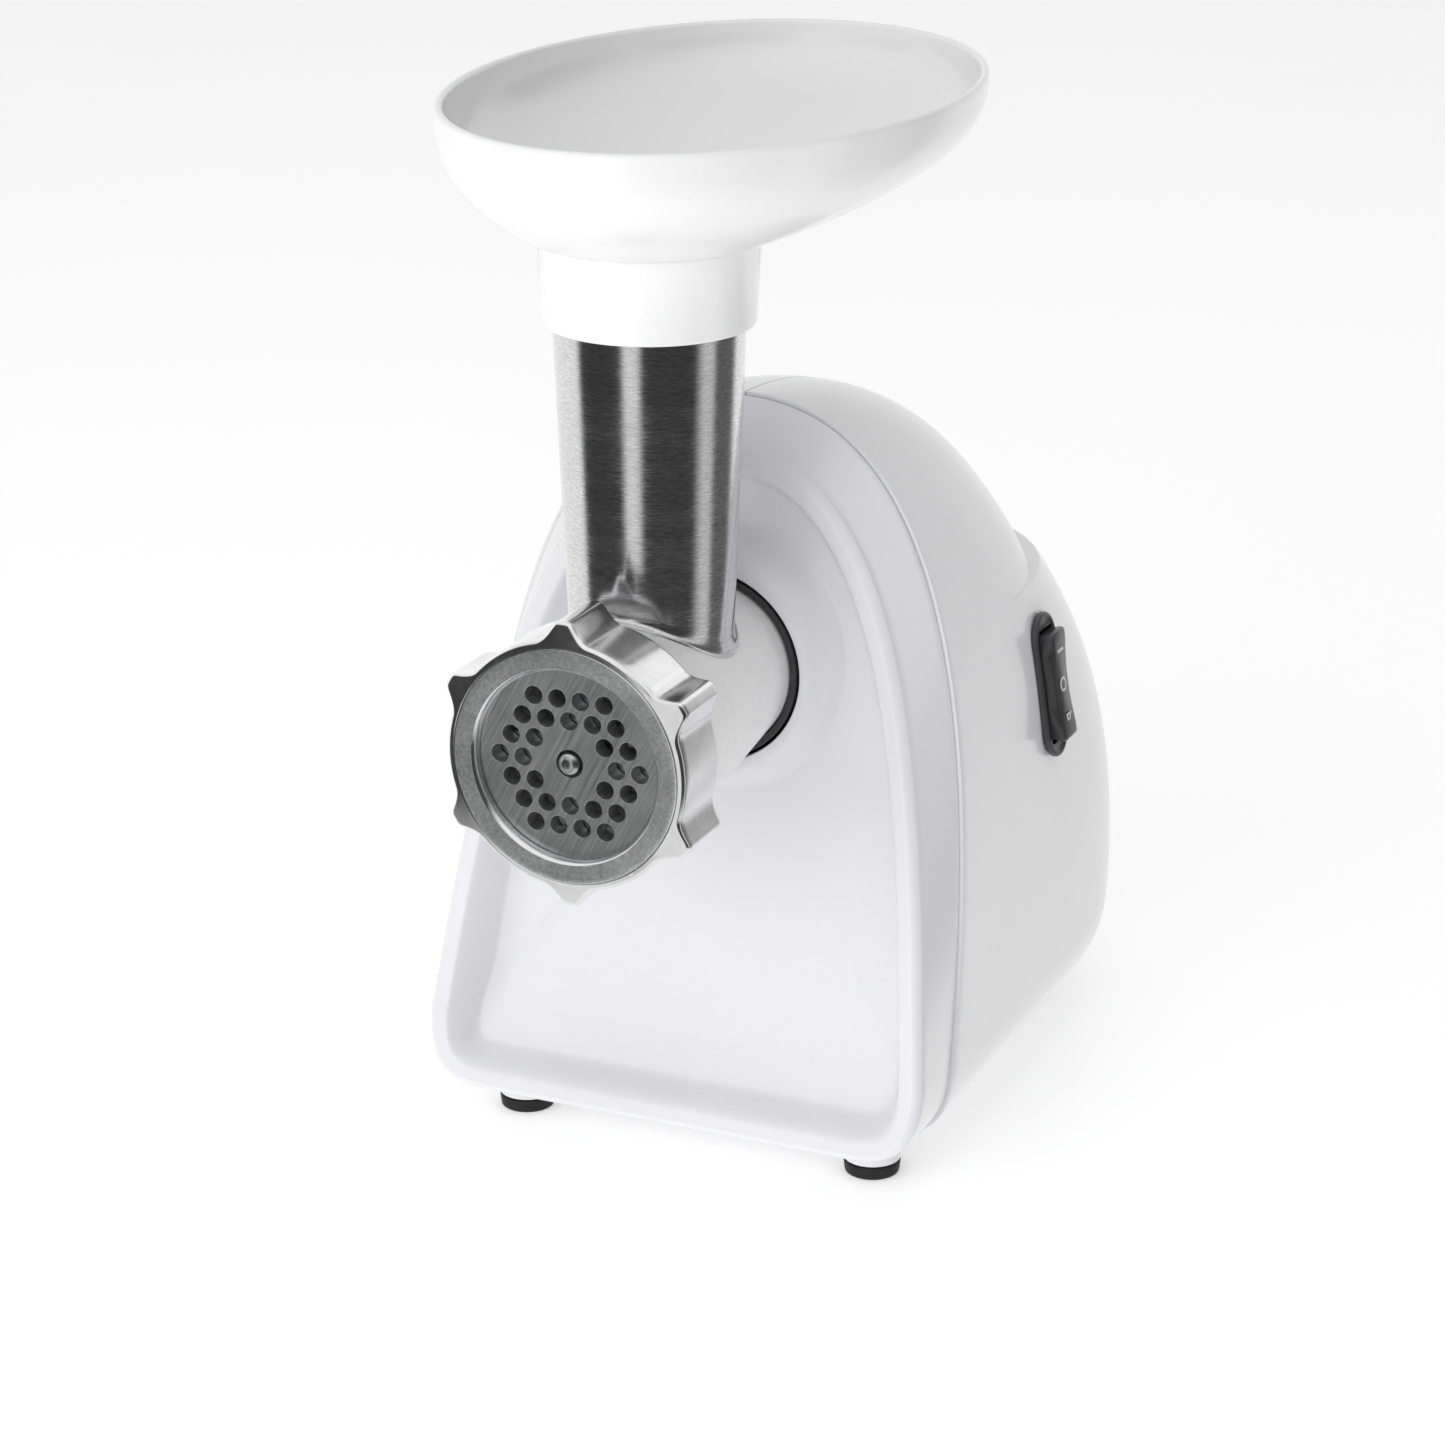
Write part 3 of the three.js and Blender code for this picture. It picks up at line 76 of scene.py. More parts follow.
PLATE_R, PLATE_THICK = 27.0, 5.0
HOLE_PITCH, HOLE_R, CENTRE_HOLE_R = 6.15, 2.3, 3.5
STUD_R = 2.75

NUT_R, NUT_TIP_R, NUT_MOUTH_R, NUT_BORE_R = 31.3, 35.8, 23.7, 30.1
NUT_FRONT_Y, NUT_BACK_Y = -3.0, 17.0
NUT_LOBES, NUT_PHASE = 6, 31.0
THREAD_R, THREAD_PITCH, THREAD_DEPTH = 29.8, 4.0, 0.7

TUBE_TOP_Z, TUBE_TOP_R, TUBE_FOOT_R, TUBE_WALL = 243.0, 23.9, 19.5, 2.2
BORE_R, COUNTERBORE_R, COUNTERBORE_END = 20.0, 27.3, 11.0
REAR_WALL_Y = 77.0
SPIGOT_R, SPIGOT_END_Y = 20.6, 94.0
LUG_R, LUG_HALF_ANGLE, LUG_Y = 22.6, 0.26, (87.8, 91.6)

COLLAR_FLOOR_Z, COLLAR_FLOOR_R, COLLAR_BORE_R = 225.2, 25.8, 24.45
COLLAR_TOP_Z, COLLAR_TOP_R = 245.8, 26.8
BOWL_FOOT_R, BOWL_FULLNESS = 28.5, 2.75
RIM_HALF_WIDTH, RIM_HALF_LENGTH, RIM_CENTRE_Y, TRAY_RIM_Z = 62.2, 87.8, 85.3, 275.6
TRAY_WALL, THROAT_R = 2.2, 20.2

SWITCH_HALF_WIDTH, SWITCH_HALF_HEIGHT = 7.4, 19.8
ROCKER_HALF_WIDTH, ROCKER_REACH = 4.6, 6.0
ROCKER_DISH, ROCKER_DISH_SPAN = 0.992, 15.0
SWITCH_LEAN = math.radians(-9)

GROMMET_Z, BACK_Y = 28.0, 239.0

# ---------------------------------------------------------------- numbers and curves


def lerp(a, b, share):
    return a + (b - a) * share


def smooth(value, low=0.0, high=1.0):
    share = np.clip((value - low) / (high - low), 0, 1)
    return share * share * (3 - 2 * share)


def bezier(points, count):
    """Points along a cubic Bezier curve."""
    a, b, c, d = (np.array(p, float) for p in points)
    u = np.linspace(0, 1, count)[:, None]
    return (1 - u) ** 3 * a + 3 * (1 - u) ** 2 * u * b + 3 * (1 - u) * u * u * c + u ** 3 * d


def even(points, spacing):
    """The same polyline with points about one spacing apart."""
    steps = np.hypot(*np.diff(points, axis=0).T)
    along = np.r_[0, np.cumsum(steps)]
    wanted = np.linspace(0, along[-1], max(int(round(along[-1] / spacing)), 2) + 1)
    return np.stack([np.interp(wanted, along, points[:, k]) for k in (0, 1)], axis=1)


def rounded(points, radii, steps=6):
    """A polyline whose inner corners are turned into arcs by quadratic curves of about these radii."""
    points = [np.array(p, float) for p in points]
    out = [points[0]]
    for i in range(1, len(points) - 1):
        corner, before, after = points[i], points[i - 1], points[i + 1]
        back, ahead = before - corner, after - corner
        reach_back, reach_ahead = np.linalg.norm(back), np.linalg.norm(ahead)
        radius = radii[i - 1] if hasattr(radii, "__len__") else radii
        if radius <= 0:
            out.append(corner)
            continue
        cosine = np.clip(np.dot(back, ahead) / (reach_back * reach_ahead), -1, 1)
        half_turn = (math.pi - math.acos(cosine)) / 2
        cut = min(radius * math.tan(half_turn), 0.48 * reach_back, 0.48 * reach_ahead)
        start, end = corner + back / reach_back * cut, corner + ahead / reach_ahead * cut
        for u in np.linspace(0, 1, steps + 1):
            out.append((1 - u) ** 2 * start + 2 * (1 - u) * u * corner + u * u * end)
    out.append(points[-1])
    return np.array(out)


# ---------------------------------------------------------------- meshes


def spot(node):
    """A CAD node's middle in plan and its lowest and highest level, in the plate frame."""
    low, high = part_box(node)
    return (low.x + high.x) / 2 / MM, ((low.y + high.y) / 2 - FACE_Y) / MM, low.z / MM, high.z / MM


def placed(points):
    """Millimetres in the plate frame to metres in the object's frame."""
    return np.asarray(points, float) * MM + np.array([0, FACE_Y, 0])


def new_object(name, vertices, faces, materials, face_slots=None, sharp=35):
    mesh = bpy.data.meshes.new(name)
    mesh.from_pydata(np.asarray(vertices).tolist(), [], faces)
    for material in materials:
        mesh.materials.append(material)
    if face_slots is not None:
        mesh.polygons.foreach_set("material_index", np.asarray(face_slots, np.int32))
    body = bmesh.new()
    body.from_mesh(mesh)
    bmesh.ops.recalc_face_normals(body, faces=body.faces)
    body.to_mesh(mesh)
    body.free()
    obj = bpy.data.objects.new(name, mesh)
    bpy.context.scene.collection.objects.link(obj)
    soften(obj, sharp)
    return obj


def soften(obj, sharp=35):
    """Smooth shading that breaks at corners sharper than an angle."""
    obj.data.shade_smooth()
    obj.data.set_sharp_from_angle(angle=math.radians(sharp))


def loft(name, rings, materials, ring_slots=None, wrap=True, sharp=35):
    """Rings of equal length as one closed skin; the last joins the first, or the ends get caps."""
    rings = np.asarray(rings, float)
    count, sides = rings.shape[:2]
    faces, slots = [], []
    for i in range(count if wrap else count - 1):
        low, high = i * sides, ((i + 1) % count) * sides
        for j in range(sides):
            k = (j + 1) % sides
            faces.append((low + j, low + k, high + k, high + j))
            slots.append(ring_slots[i] if ring_slots is not None else 0)
    if not wrap:
        faces.append(tuple(range(sides))[::-1])
        faces.append(tuple(range((count - 1) * sides, count * sides)))
        slots += [slots[0], slots[-1]]
    return new_object(name, placed(rings.reshape(-1, 3)), faces, materials, slots, sharp)


def lathe_rings(profile, steps, axis="y", centre=(0.0, 0.0, 0.0), bend=None):
    """Rings of a body of revolution; the profile lists (radius, height along the axis)."""
    angles = np.arange(steps) * 2 * math.pi / steps
    rings = []
    for radius, along in profile:
        r = np.full(steps, radius) if bend is None else bend(angles, radius, along)
        h = np.full(steps, float(along))
        a, b = r * np.cos(angles), r * np.sin(angles)
        ring = np.stack([a, h, b] if axis == "y" else [a, b, h], axis=1)
        rings.append(ring + np.array(centre))
    return rings


def lathe(name, profile, material, steps=96, axis="y", centre=(0.0, 0.0, 0.0), wrap=False, sharp=35):
    """A closed body of revolution. A profile that starts and ends on the axis gives a solid one."""
    profile = [tuple(p) for p in profile]
    solid = profile[0][0] < 1e-6 and not wrap
    if solid:
        profile = profile[1:-1]
    return loft(name, lathe_rings(profile, steps, axis, centre), [material], None, not solid, sharp)


def apply_modifiers(obj):
    graph = bpy.context.evaluated_depsgraph_get()
    graph.update()
    mesh = bpy.data.meshes.new_from_object(obj.evaluated_get(graph))
    obj.modifiers.clear()
    old, obj.data = obj.data, mesh
    bpy.data.meshes.remove(old)
    return obj


def bevel(obj, width, segments=2, angle=40):
    """Rounds the corners of a new piece for good, or of a CAD node as a modifier."""
    modifier = obj.modifiers.new("rounded_edges", "BEVEL")
    modifier.width = width * MM
    modifier.segments = segments
    modifier.limit_method = "ANGLE"
    modifier.angle_limit = math.radians(angle)
    modifier.harden_normals = False
    modifier.use_clamp_overlap = True
    return obj


def combine(obj, tools, operation="DIFFERENCE"):
    """Cuts or joins other closed meshes, which are used up."""
    for tool in tools:
        modifier = obj.modifiers.new("combine", "BOOLEAN")
        modifier.operation = operation
        modifier.object = tool
        modifier.solver = "EXACT"
        modifier.material_mode = "TRANSFER"
        apply_modifiers(obj)
        bpy.data.objects.remove(tool)
    return obj


def joined(obj, others):
    """One mesh object out of several."""
    body = bmesh.new()
    body.from_mesh(obj.data)
    for other in others:
        extra = other.data.copy()
        extra.transform(other.matrix_world)
        body.from_mesh(extra)
        bpy.data.meshes.remove(extra)
        bpy.data.objects.remove(other)
    body.to_mesh(obj.data)
    body.free()
    return obj


def slab(name, loops, thickness, material, edge=0.2, segments=2):
    """A flat piece from outlines in its own X and Y: the first is the edge, the rest are holes.
    It lies from z = 0 to its thickness, with its corners rounded, in metres."""
    curve = bpy.data.curves.new(name, "CURVE")
    curve.dimensions = "2D"
    curve.fill_mode = "BOTH"
    curve.extrude = (thickness / 2 - edge) * MM
    curve.bevel_depth = edge * MM
    curve.bevel_resolution = segments
    curve.offset = -edge * MM
    for loop in loops:
        spline = curve.splines.new("POLY")
        spline.points.add(len(loop) - 1)
        for point, (x, y) in zip(spline.points, loop):
            point.co = (x * MM, y * MM, 0, 1)
        spline.use_cyclic_u = True
    holder = bpy.data.objects.new(name + "_curve", curve)
    bpy.context.scene.collection.objects.link(holder)
    graph = bpy.context.evaluated_depsgraph_get()
    mesh = bpy.data.meshes.new_from_object(holder.evaluated_get(graph))
    bpy.data.objects.remove(holder)
    bpy.data.curves.remove(curve)
    body = bmesh.new()
    body.from_mesh(mesh)
    bmesh.ops.remove_doubles(body, verts=body.verts, dist=1e-6)
    bmesh.ops.recalc_face_normals(body, faces=body.faces)
    body.to_mesh(mesh)
    body.free()
    mesh.transform(Matrix.Translation((0, 0, thickness / 2 * MM)))
    mesh.materials.clear()
    mesh.materials.append(material)
    mesh.name = name
    obj = bpy.data.objects.new(name, mesh)
    bpy.context.scene.collection.objects.link(obj)
    soften(obj)
    for face in mesh.polygons:
        if abs(face.normal.z) > 0.999:
            face.use_smooth = False
    return obj


def circle_loop(radius, x=0.0, y=0.0, steps=40):
    angles = np.arange(steps) * 2 * math.pi / steps
    return [(x + radius * math.cos(a), y + radius * math.sin(a)) for a in angles]


def settle(obj, matrix):
    """Moves a new piece's mesh for good."""
    obj.data.transform(matrix)
    return obj


def add_piece(obj, body, slot, *nodes):
    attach(obj, body)
    if nodes:
        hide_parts(*nodes)
    return obj


# ---------------------------------------------------------------- materials


class Graph:
    """The shader nodes that materials and the world share."""

    def __init__(self, tree):
        self.nodes, self.links = tree.nodes, tree.links

    def node(self, kind, **settings):
        made = self.nodes.new(kind)
        for key, value in settings.items():
            setattr(made, key, value)
        return made

    def math(self, operation, a, b):
        made = self.node("ShaderNodeMath", operation=operation)
        for socket, value in zip(made.inputs, (a, b)):
            if isinstance(value, (int, float)):
                socket.default_value = value
            else:
                self.links.new(value, socket)
        return made.outputs["Value"]

    def colours(self, value, *stops):
        """Colour from a value; each stop is (place, colour)."""
        ramp = self.node("ShaderNodeValToRGB")
        elements = ramp.color_ramp.elements
        for k, (at, colour) in enumerate(stops):
            element = elements[k] if k < 2 else elements.new(at)
            element.position = at
            element.color = (*colour, 1)
        self.links.new(value, ramp.inputs["Fac"])
        return ramp.outputs["Color"]

    def mixed(self, factor, a, b):
        made = self.node("ShaderNodeMix", data_type="RGBA")
        self.links.new(factor, made.inputs["Factor"])
        for socket, value in ((made.inputs[6], a), (made.inputs[7], b)):
            if isinstance(value, tuple):
                socket.default_value = (*value, 1)
            else:
                self.links.new(value, socket)
        return made.outputs[2]


class Finish(Graph):
    """A procedural material, built around one Principled shader in the object's own coordinates."""

    def __init__(self, name, **values):
        self.material = bpy.data.materials.new(name)
        self.material.use_nodes = True
        super().__init__(self.material.node_tree)
        self.shader = next(node for node in self.nodes if node.type == "BSDF_PRINCIPLED")
        self.place = self.nodes.new("ShaderNodeTexCoord").outputs["Object"]
        self.normal = None
        for socket, value in values.items():
            self.shader.inputs[socket.replace("_", " ")].default_value = value

    def stretched(self, scale, turn=(0.0, 0.0, 0.0)):
        """The object's coordinates, first turned and then stretched."""
        place = self.place
        for socket, value in (("Rotation", turn), ("Scale", scale)):
            mapping = self.node("ShaderNodeMapping")
            mapping.inputs[socket].default_value = value
            self.links.new(place, mapping.inputs["Vector"])
            place = mapping.outputs["Vector"]
        return place

    def noise(self, scale, detail=4.0, roughness=0.55, place=None):
        made = self.node("ShaderNodeTexNoise")
        made.inputs["Scale"].default_value = scale
        made.inputs["Detail"].default_value = detail
        made.inputs["Roughness"].default_value = roughness
        self.links.new(place or self.place, made.inputs["Vector"])
        return made.outputs["Fac"]

    def remap(self, value, low, high, from_low=0.3, from_high=0.7):
        made = self.node("ShaderNodeMapRange")
        made.inputs["From Min"].default_value = from_low
        made.inputs["From Max"].default_value = from_high
        made.inputs["To Min"].default_value = low
        made.inputs["To Max"].default_value = high
        self.links.new(value, made.inputs["Value"])
        return made.outputs["Result"]

    def edges(self, low=0.5, high=0.56):
        """1 on outward corners, 0 on flats."""
        geometry = self.node("ShaderNodeNewGeometry")
        return self.remap(geometry.outputs["Pointiness"], 0.0, 1.0, low, high)

    def colour(self, output):
        self.links.new(output, self.shader.inputs["Base Color"])

    def rough(self, output):
        self.links.new(output, self.shader.inputs["Roughness"])

    def bump(self, height, distance, strength=1.0):
        made = self.node("ShaderNodeBump")
        made.inputs["Strength"].default_value = strength
        made.inputs["Distance"].default_value = distance * MM
        self.links.new(height, made.inputs["Height"])
        if self.normal is not None:
            self.links.new(self.normal, made.inputs["Normal"])
        self.normal = made.outputs["Normal"]
        self.links.new(self.normal, self.shader.inputs["Normal"])


def white_plastic(name="gloss_white_plastic", tint=(0.80, 0.80, 0.815), rough=0.22):
    """Glossy moulded plastic: a faint cloudiness, a soft orange peel and fine handling marks."""
    finish = Finish(name, IOR=1.49, Coat_Weight=0.35, Coat_Roughness=0.06)
    cloud = finish.noise(14, detail=3)
    light = tuple(min(channel * 1.01, 1) for channel in tint)
    dark = tuple(channel * 0.978 for channel in tint)
    base = finish.colours(cloud, (0.32, dark), (0.68, light))
    specks = finish.remap(finish.noise(900, detail=2), 0, 0.08)
    finish.colour(finish.mixed(specks, base, tuple(channel * 0.8 for channel in tint)))
    marks = finish.noise(60, detail=6, roughness=0.7, place=finish.stretched((1, 1, 3.5)))
    finish.rough(finish.remap(marks, rough - 0.02, rough + 0.02))
    finish.bump(finish.noise(420, detail=2), 0.008, 0.4)
    finish.bump(finish.noise(45, detail=1), 0.08, 0.3)
    return finish.material


def polished_steel(name="polished_tube"):
    """Turned and polished metal: short fine grain round the tube, a few wider wipes and pinpricks."""
    finish = Finish(name, Metallic=1.0)
    lines = finish.noise(1.0, detail=5, roughness=0.75, place=finish.stretched((420, 420, 3600)))
    wide = finish.noise(1.0, detail=3, place=finish.stretched((16, 16, 240)))
    grain = finish.noise(3600, detail=3)
    tone = finish.math("ADD", finish.math("MULTIPLY", lines, 0.75), finish.math("MULTIPLY", grain, 0.25))
    finish.colour(finish.colours(tone, (0.36, (0.50, 0.50, 0.505)), (0.64, (0.88, 0.88, 0.885))))
    finish.rough(finish.remap(finish.math("ADD", lines, wide), 0.12, 0.24, 0.7, 1.3))
    finish.bump(lines, 0.012, 0.5)
    finish.bump(wide, 0.015, 0.15)
    return finish.material


def bright_steel(name="polished_nut", dark=(0.72, 0.72, 0.725), light=(0.93, 0.93, 0.935)):
    """Polished cast metal with soft waves and faint scratches; a painted highlight lightens its colour on the
    outward corners.
    """
    finish = Finish(name, Metallic=1.0)
    cloud = finish.noise(70, detail=5, roughness=0.6)
    scratch = finish.noise(1.0, detail=4, roughness=0.8, place=finish.stretched((300, 2600, 300)))
    base = finish.colours(cloud, (0.3, dark), (0.7, light))
    # painted highlight: outward corners (pointiness) are mixed towards a lighter grey
    finish.colour(finish.mixed(finish.edges(), base, (0.93, 0.93, 0.94)))
    finish.rough(finish.remap(finish.math("ADD", cloud, scratch), 0.1, 0.24, 0.7, 1.3))
    finish.bump(cloud, 0.09, 0.4)
    finish.bump(scratch, 0.012, 0.4)
    return finish.material


def grainy_cast(name, dark, light, rough=0.42, metal=1.0, grain=1100, depth=0.05):
    """Blasted or as-cast metal: an even grain with soft darker patches."""
    finish = Finish(name, Metallic=metal)
    fine = finish.noise(grain, detail=5, roughness=0.7)
    patch = finish.noise(38, detail=4)
    tone = finish.math("ADD", finish.math("MULTIPLY", fine, 0.6), finish.math("MULTIPLY", patch, 0.4))
    finish.colour(finish.colours(tone, (0.34, dark), (0.66, light)))
    finish.rough(finish.remap(tone, rough - 0.08, rough + 0.1))
    finish.bump(fine, depth, 0.5)
    finish.bump(finish.noise(160, detail=2), depth * 2, 0.25)
    return finish.material


def brushed_plate(name="brushed_plate"):
    """Ground steel with parallel grinding lines that run steeply across the disc."""
    finish = Finish(name, Metallic=0.85)
    place = finish.stretched((2600, 90, 60), turn=(0, math.radians(-28), 0))
    lines = finish.noise(1.0, detail=5, roughness=0.75, place=place)
    patch = finish.noise(60, detail=3)
    finish.colour(finish.colours(lines, (0.32, (0.36, 0.365, 0.37)), (0.68, (0.66, 0.665, 0.67))))
    finish.rough(finish.remap(finish.math("ADD", lines, patch), 0.26, 0.44, 0.7, 1.3))
    finish.bump(lines, 0.03, 0.6)
    return finish.material


def black_plastic(name="satin_black_plastic", grain=1500, rough=0.38):
    """Fine-textured black plastic, a little lighter on its outward corners."""
    finish = Finish(name, IOR=1.5)
    patch = finish.noise(120, detail=4)
    base = finish.colours(patch, (0.3, (0.009, 0.009, 0.010)), (0.7, (0.022, 0.022, 0.024)))
    finish.colour(finish.mixed(finish.edges(), base, (0.06, 0.06, 0.063)))
    finish.rough(finish.remap(patch, rough - 0.08, rough + 0.1))
    finish.bump(finish.noise(grain, detail=3), 0.03, 0.5)
    return finish.material


def rubber(name="black_rubber"):
    finish = Finish(name, IOR=1.5)
    patch = finish.noise(220, detail=5)
    finish.colour(finish.colours(patch, (0.3, (0.008, 0.008, 0.008)), (0.7, (0.024, 0.024, 0.024))))
    finish.rough(finish.remap(patch, 0.55, 0.8))
    finish.bump(finish.noise(900, detail=3), 0.05, 0.6)
    return finish.material


def printed_mark(name="pale_print"):
    finish = Finish(name)
    patch = finish.noise(900, detail=4)
    finish.colour(finish.colours(patch, (0.3, (0.50, 0.50, 0.50)), (0.7, (0.74, 0.74, 0.74))))
    finish.rough(finish.remap(patch, 0.4, 0.6))
    return finish.material


def plain_metal(name, dark, light, rough=0.3):
    """Small machine parts: plated or wound metal with a fine turned grain."""
    finish = Finish(name, Metallic=1.0)
    lines = finish.noise(1.0, detail=4, place=finish.stretched((600, 2600, 600)))
    patch = finish.noise(90, detail=4)
    tone = finish.math("ADD", finish.math("MULTIPLY", lines, 0.5), finish.math("MULTIPLY", patch, 0.5))
    finish.colour(finish.colours(tone, (0.34, dark), (0.66, light)))
    finish.rough(finish.remap(tone, rough - 0.08, rough + 0.12))
    finish.bump(lines, 0.02, 0.4)
    return finish.material


def copper_winding(name="enamelled_copper"):
    """Wound wire: fine ridges side by side, under amber varnish, with painted shade darkening the grooves between
    them.
    """
    finish = Finish(name, Metallic=0.85, Coat_Weight=0.5, Coat_Roughness=0.2)
    ridges = finish.node("ShaderNodeTexWave", wave_type="BANDS", bands_direction="Z")
    ridges.inputs["Scale"].default_value = 420
    ridges.inputs["Distortion"].default_value = 0.6
    finish.links.new(finish.place, ridges.inputs["Vector"])
    tone = ridges.outputs["Fac"]
    # painted shade: the copper colour darkens in the grooves between turns, following the bump's bands
    finish.colour(finish.colours(tone, (0.1, (0.25, 0.09, 0.03)), (0.9, (0.62, 0.30, 0.13))))
    finish.rough(finish.remap(finish.noise(200), 0.25, 0.4))
    finish.bump(tone, 0.3, 0.6)
    return finish.material


def laminations(name="stacked_laminations"):
    """Thin steel sheets stacked along the motor's axis."""
    finish = Finish(name, Metallic=0.9)
    sheets = finish.node("ShaderNodeTexWave", wave_type="BANDS", bands_direction="Y")
    sheets.inputs["Scale"].default_value = 600
    sheets.inputs["Distortion"].default_value = 0.3
    finish.links.new(finish.place, sheets.inputs["Vector"])
    tone = sheets.outputs["Fac"]
    finish.colour(finish.colours(tone, (0.1, (0.10, 0.10, 0.11)), (0.9, (0.30, 0.30, 0.31))))
    finish.rough(finish.remap(finish.noise(160), 0.4, 0.6))
    finish.bump(tone, 0.15, 0.5)
    return finish.material


def nylon(name="natural_nylon"):
    finish = Finish(name, Subsurface_Weight=0.15, IOR=1.53)
    finish.shader.inputs["Subsurface Radius"].default_value = (0.002, 0.0015, 0.001)
    cloud = finish.noise(80, detail=4)
    finish.colour(finish.colours(cloud, (0.3, (0.68, 0.63, 0.50)), (0.7, (0.78, 0.73, 0.60))))
    finish.rough(finish.remap(cloud, 0.36, 0.52))
    finish.bump(finish.noise(700), 0.03, 0.4)
    return finish.material


WHITE = white_plastic()
TRAY_WHITE = white_plastic("gloss_white_tray", tint=(0.86, 0.86, 0.865), rough=0.2)
TUBE = polished_steel()
CAST = grainy_cast("cast_barrel", (0.86, 0.86, 0.865), (0.95, 0.95, 0.955), 0.4, metal=0.08, grain=420)
NUT = bright_steel()
NUT_FACE = grainy_cast("blasted_nut_face", (0.40, 0.405, 0.41), (0.86, 0.865, 0.87), 0.36, 0.85, 1500)
PLATE = brushed_plate()
SCREW = grainy_cast("cast_screw", (0.50, 0.505, 0.51), (0.74, 0.745, 0.75), rough=0.35)
BLACK = black_plastic()
ROCKER = black_plastic("gloss_black_rocker", grain=900, rough=0.26)
RUBBER = rubber()
MARK = printed_mark()
STEEL = plain_metal("ground_steel", (0.46, 0.465, 0.47), (0.66, 0.665, 0.67), 0.28)
ZINC = plain_metal("zinc_plate", (0.55, 0.56, 0.57), (0.76, 0.77, 0.78), 0.32)
COPPER = copper_winding()
LAMINATION = laminations()
NYLON = nylon()
CARBON = black_plastic("pressed_carbon", grain=2200, rough=0.62)

# ---------------------------------------------------------------- housing outlines


def half_arch(floor, flat, corner, wide, wide_z, waist, crown, top):
    """Half of the arch-shaped front outline, bottom centre to top centre, as points (x, z)."""
    base = np.linspace((0, floor), (flat, floor), 40)
    turn = bezier([(flat, floor), (corner, floor), (wide, floor + 6), (wide, wide_z)], 80)
    side = bezier([(wide, wide_z), waist, (crown, top), (0, top)], 400)
    return np.vstack([base, turn[1:], side[1:]])


seam_outline = half_arch(SEAM_FLOOR, 52, 63, 68.4, 28, (69.5, 108), 60, SEAM_TOP)
rim_outline = half_arch(RIM_FLOOR, 51, 64.5, 69.3, 31, (62.3, 95), 55, RIM_TOP)


def inset(outline, distance):
    """An outline moved inwards by a distance."""
    along = np.gradient(outline, axis=0)
    along /= np.hypot(*along.T)[:, None]
    along[0], along[-1] = (1, 0), (-1, 0)
    return outline + np.stack([-along[:, 1], along[:, 0]], axis=1) * distance


def rim_y(z):
    return RIM_Y + RIM_LEAN * (z - RIM_Z)


def seam_y(z):
    return SEAM_Y + SEAM_LEAN * (z - SEAM_Z)


def panel_y(x, z):
    """The recessed front panel: a leaning wall and a scooped foot that meet in a soft fold,
    rising to the flat boss round the barrel."""
    wall = PANEL_Y + PANEL_LEAN * (z - PANEL_Z)
    scoop = SCOOP_Y + SCOOP_SLOPE * (z - SCOOP_Z)
    sheet = (wall + scoop - np.hypot(wall - scoop, SCOOP_BLEND)) / 2
    from_boss = (np.hypot(x, z - AXIS_Z) - BOSS_R) / BOSS_FILLET
    return lerp(BOSS_Y, sheet, smooth(from_boss))


# ---------------------------------------------------------------- front cover


def foot_boss(node, toe, top):
    """The white boss above a rubber foot. The toe lists (radius, rise above the rubber), the top
    lists (radius, height)."""
    x, y, _, pad_top = spot(node)
    foot = pad_top + GAP
    profile = [(0, foot), *[(radius, foot + rise) for radius, rise in toe], *top]
    return lathe(node + "_boss", profile, WHITE, 64, "z", (x, y, 0))


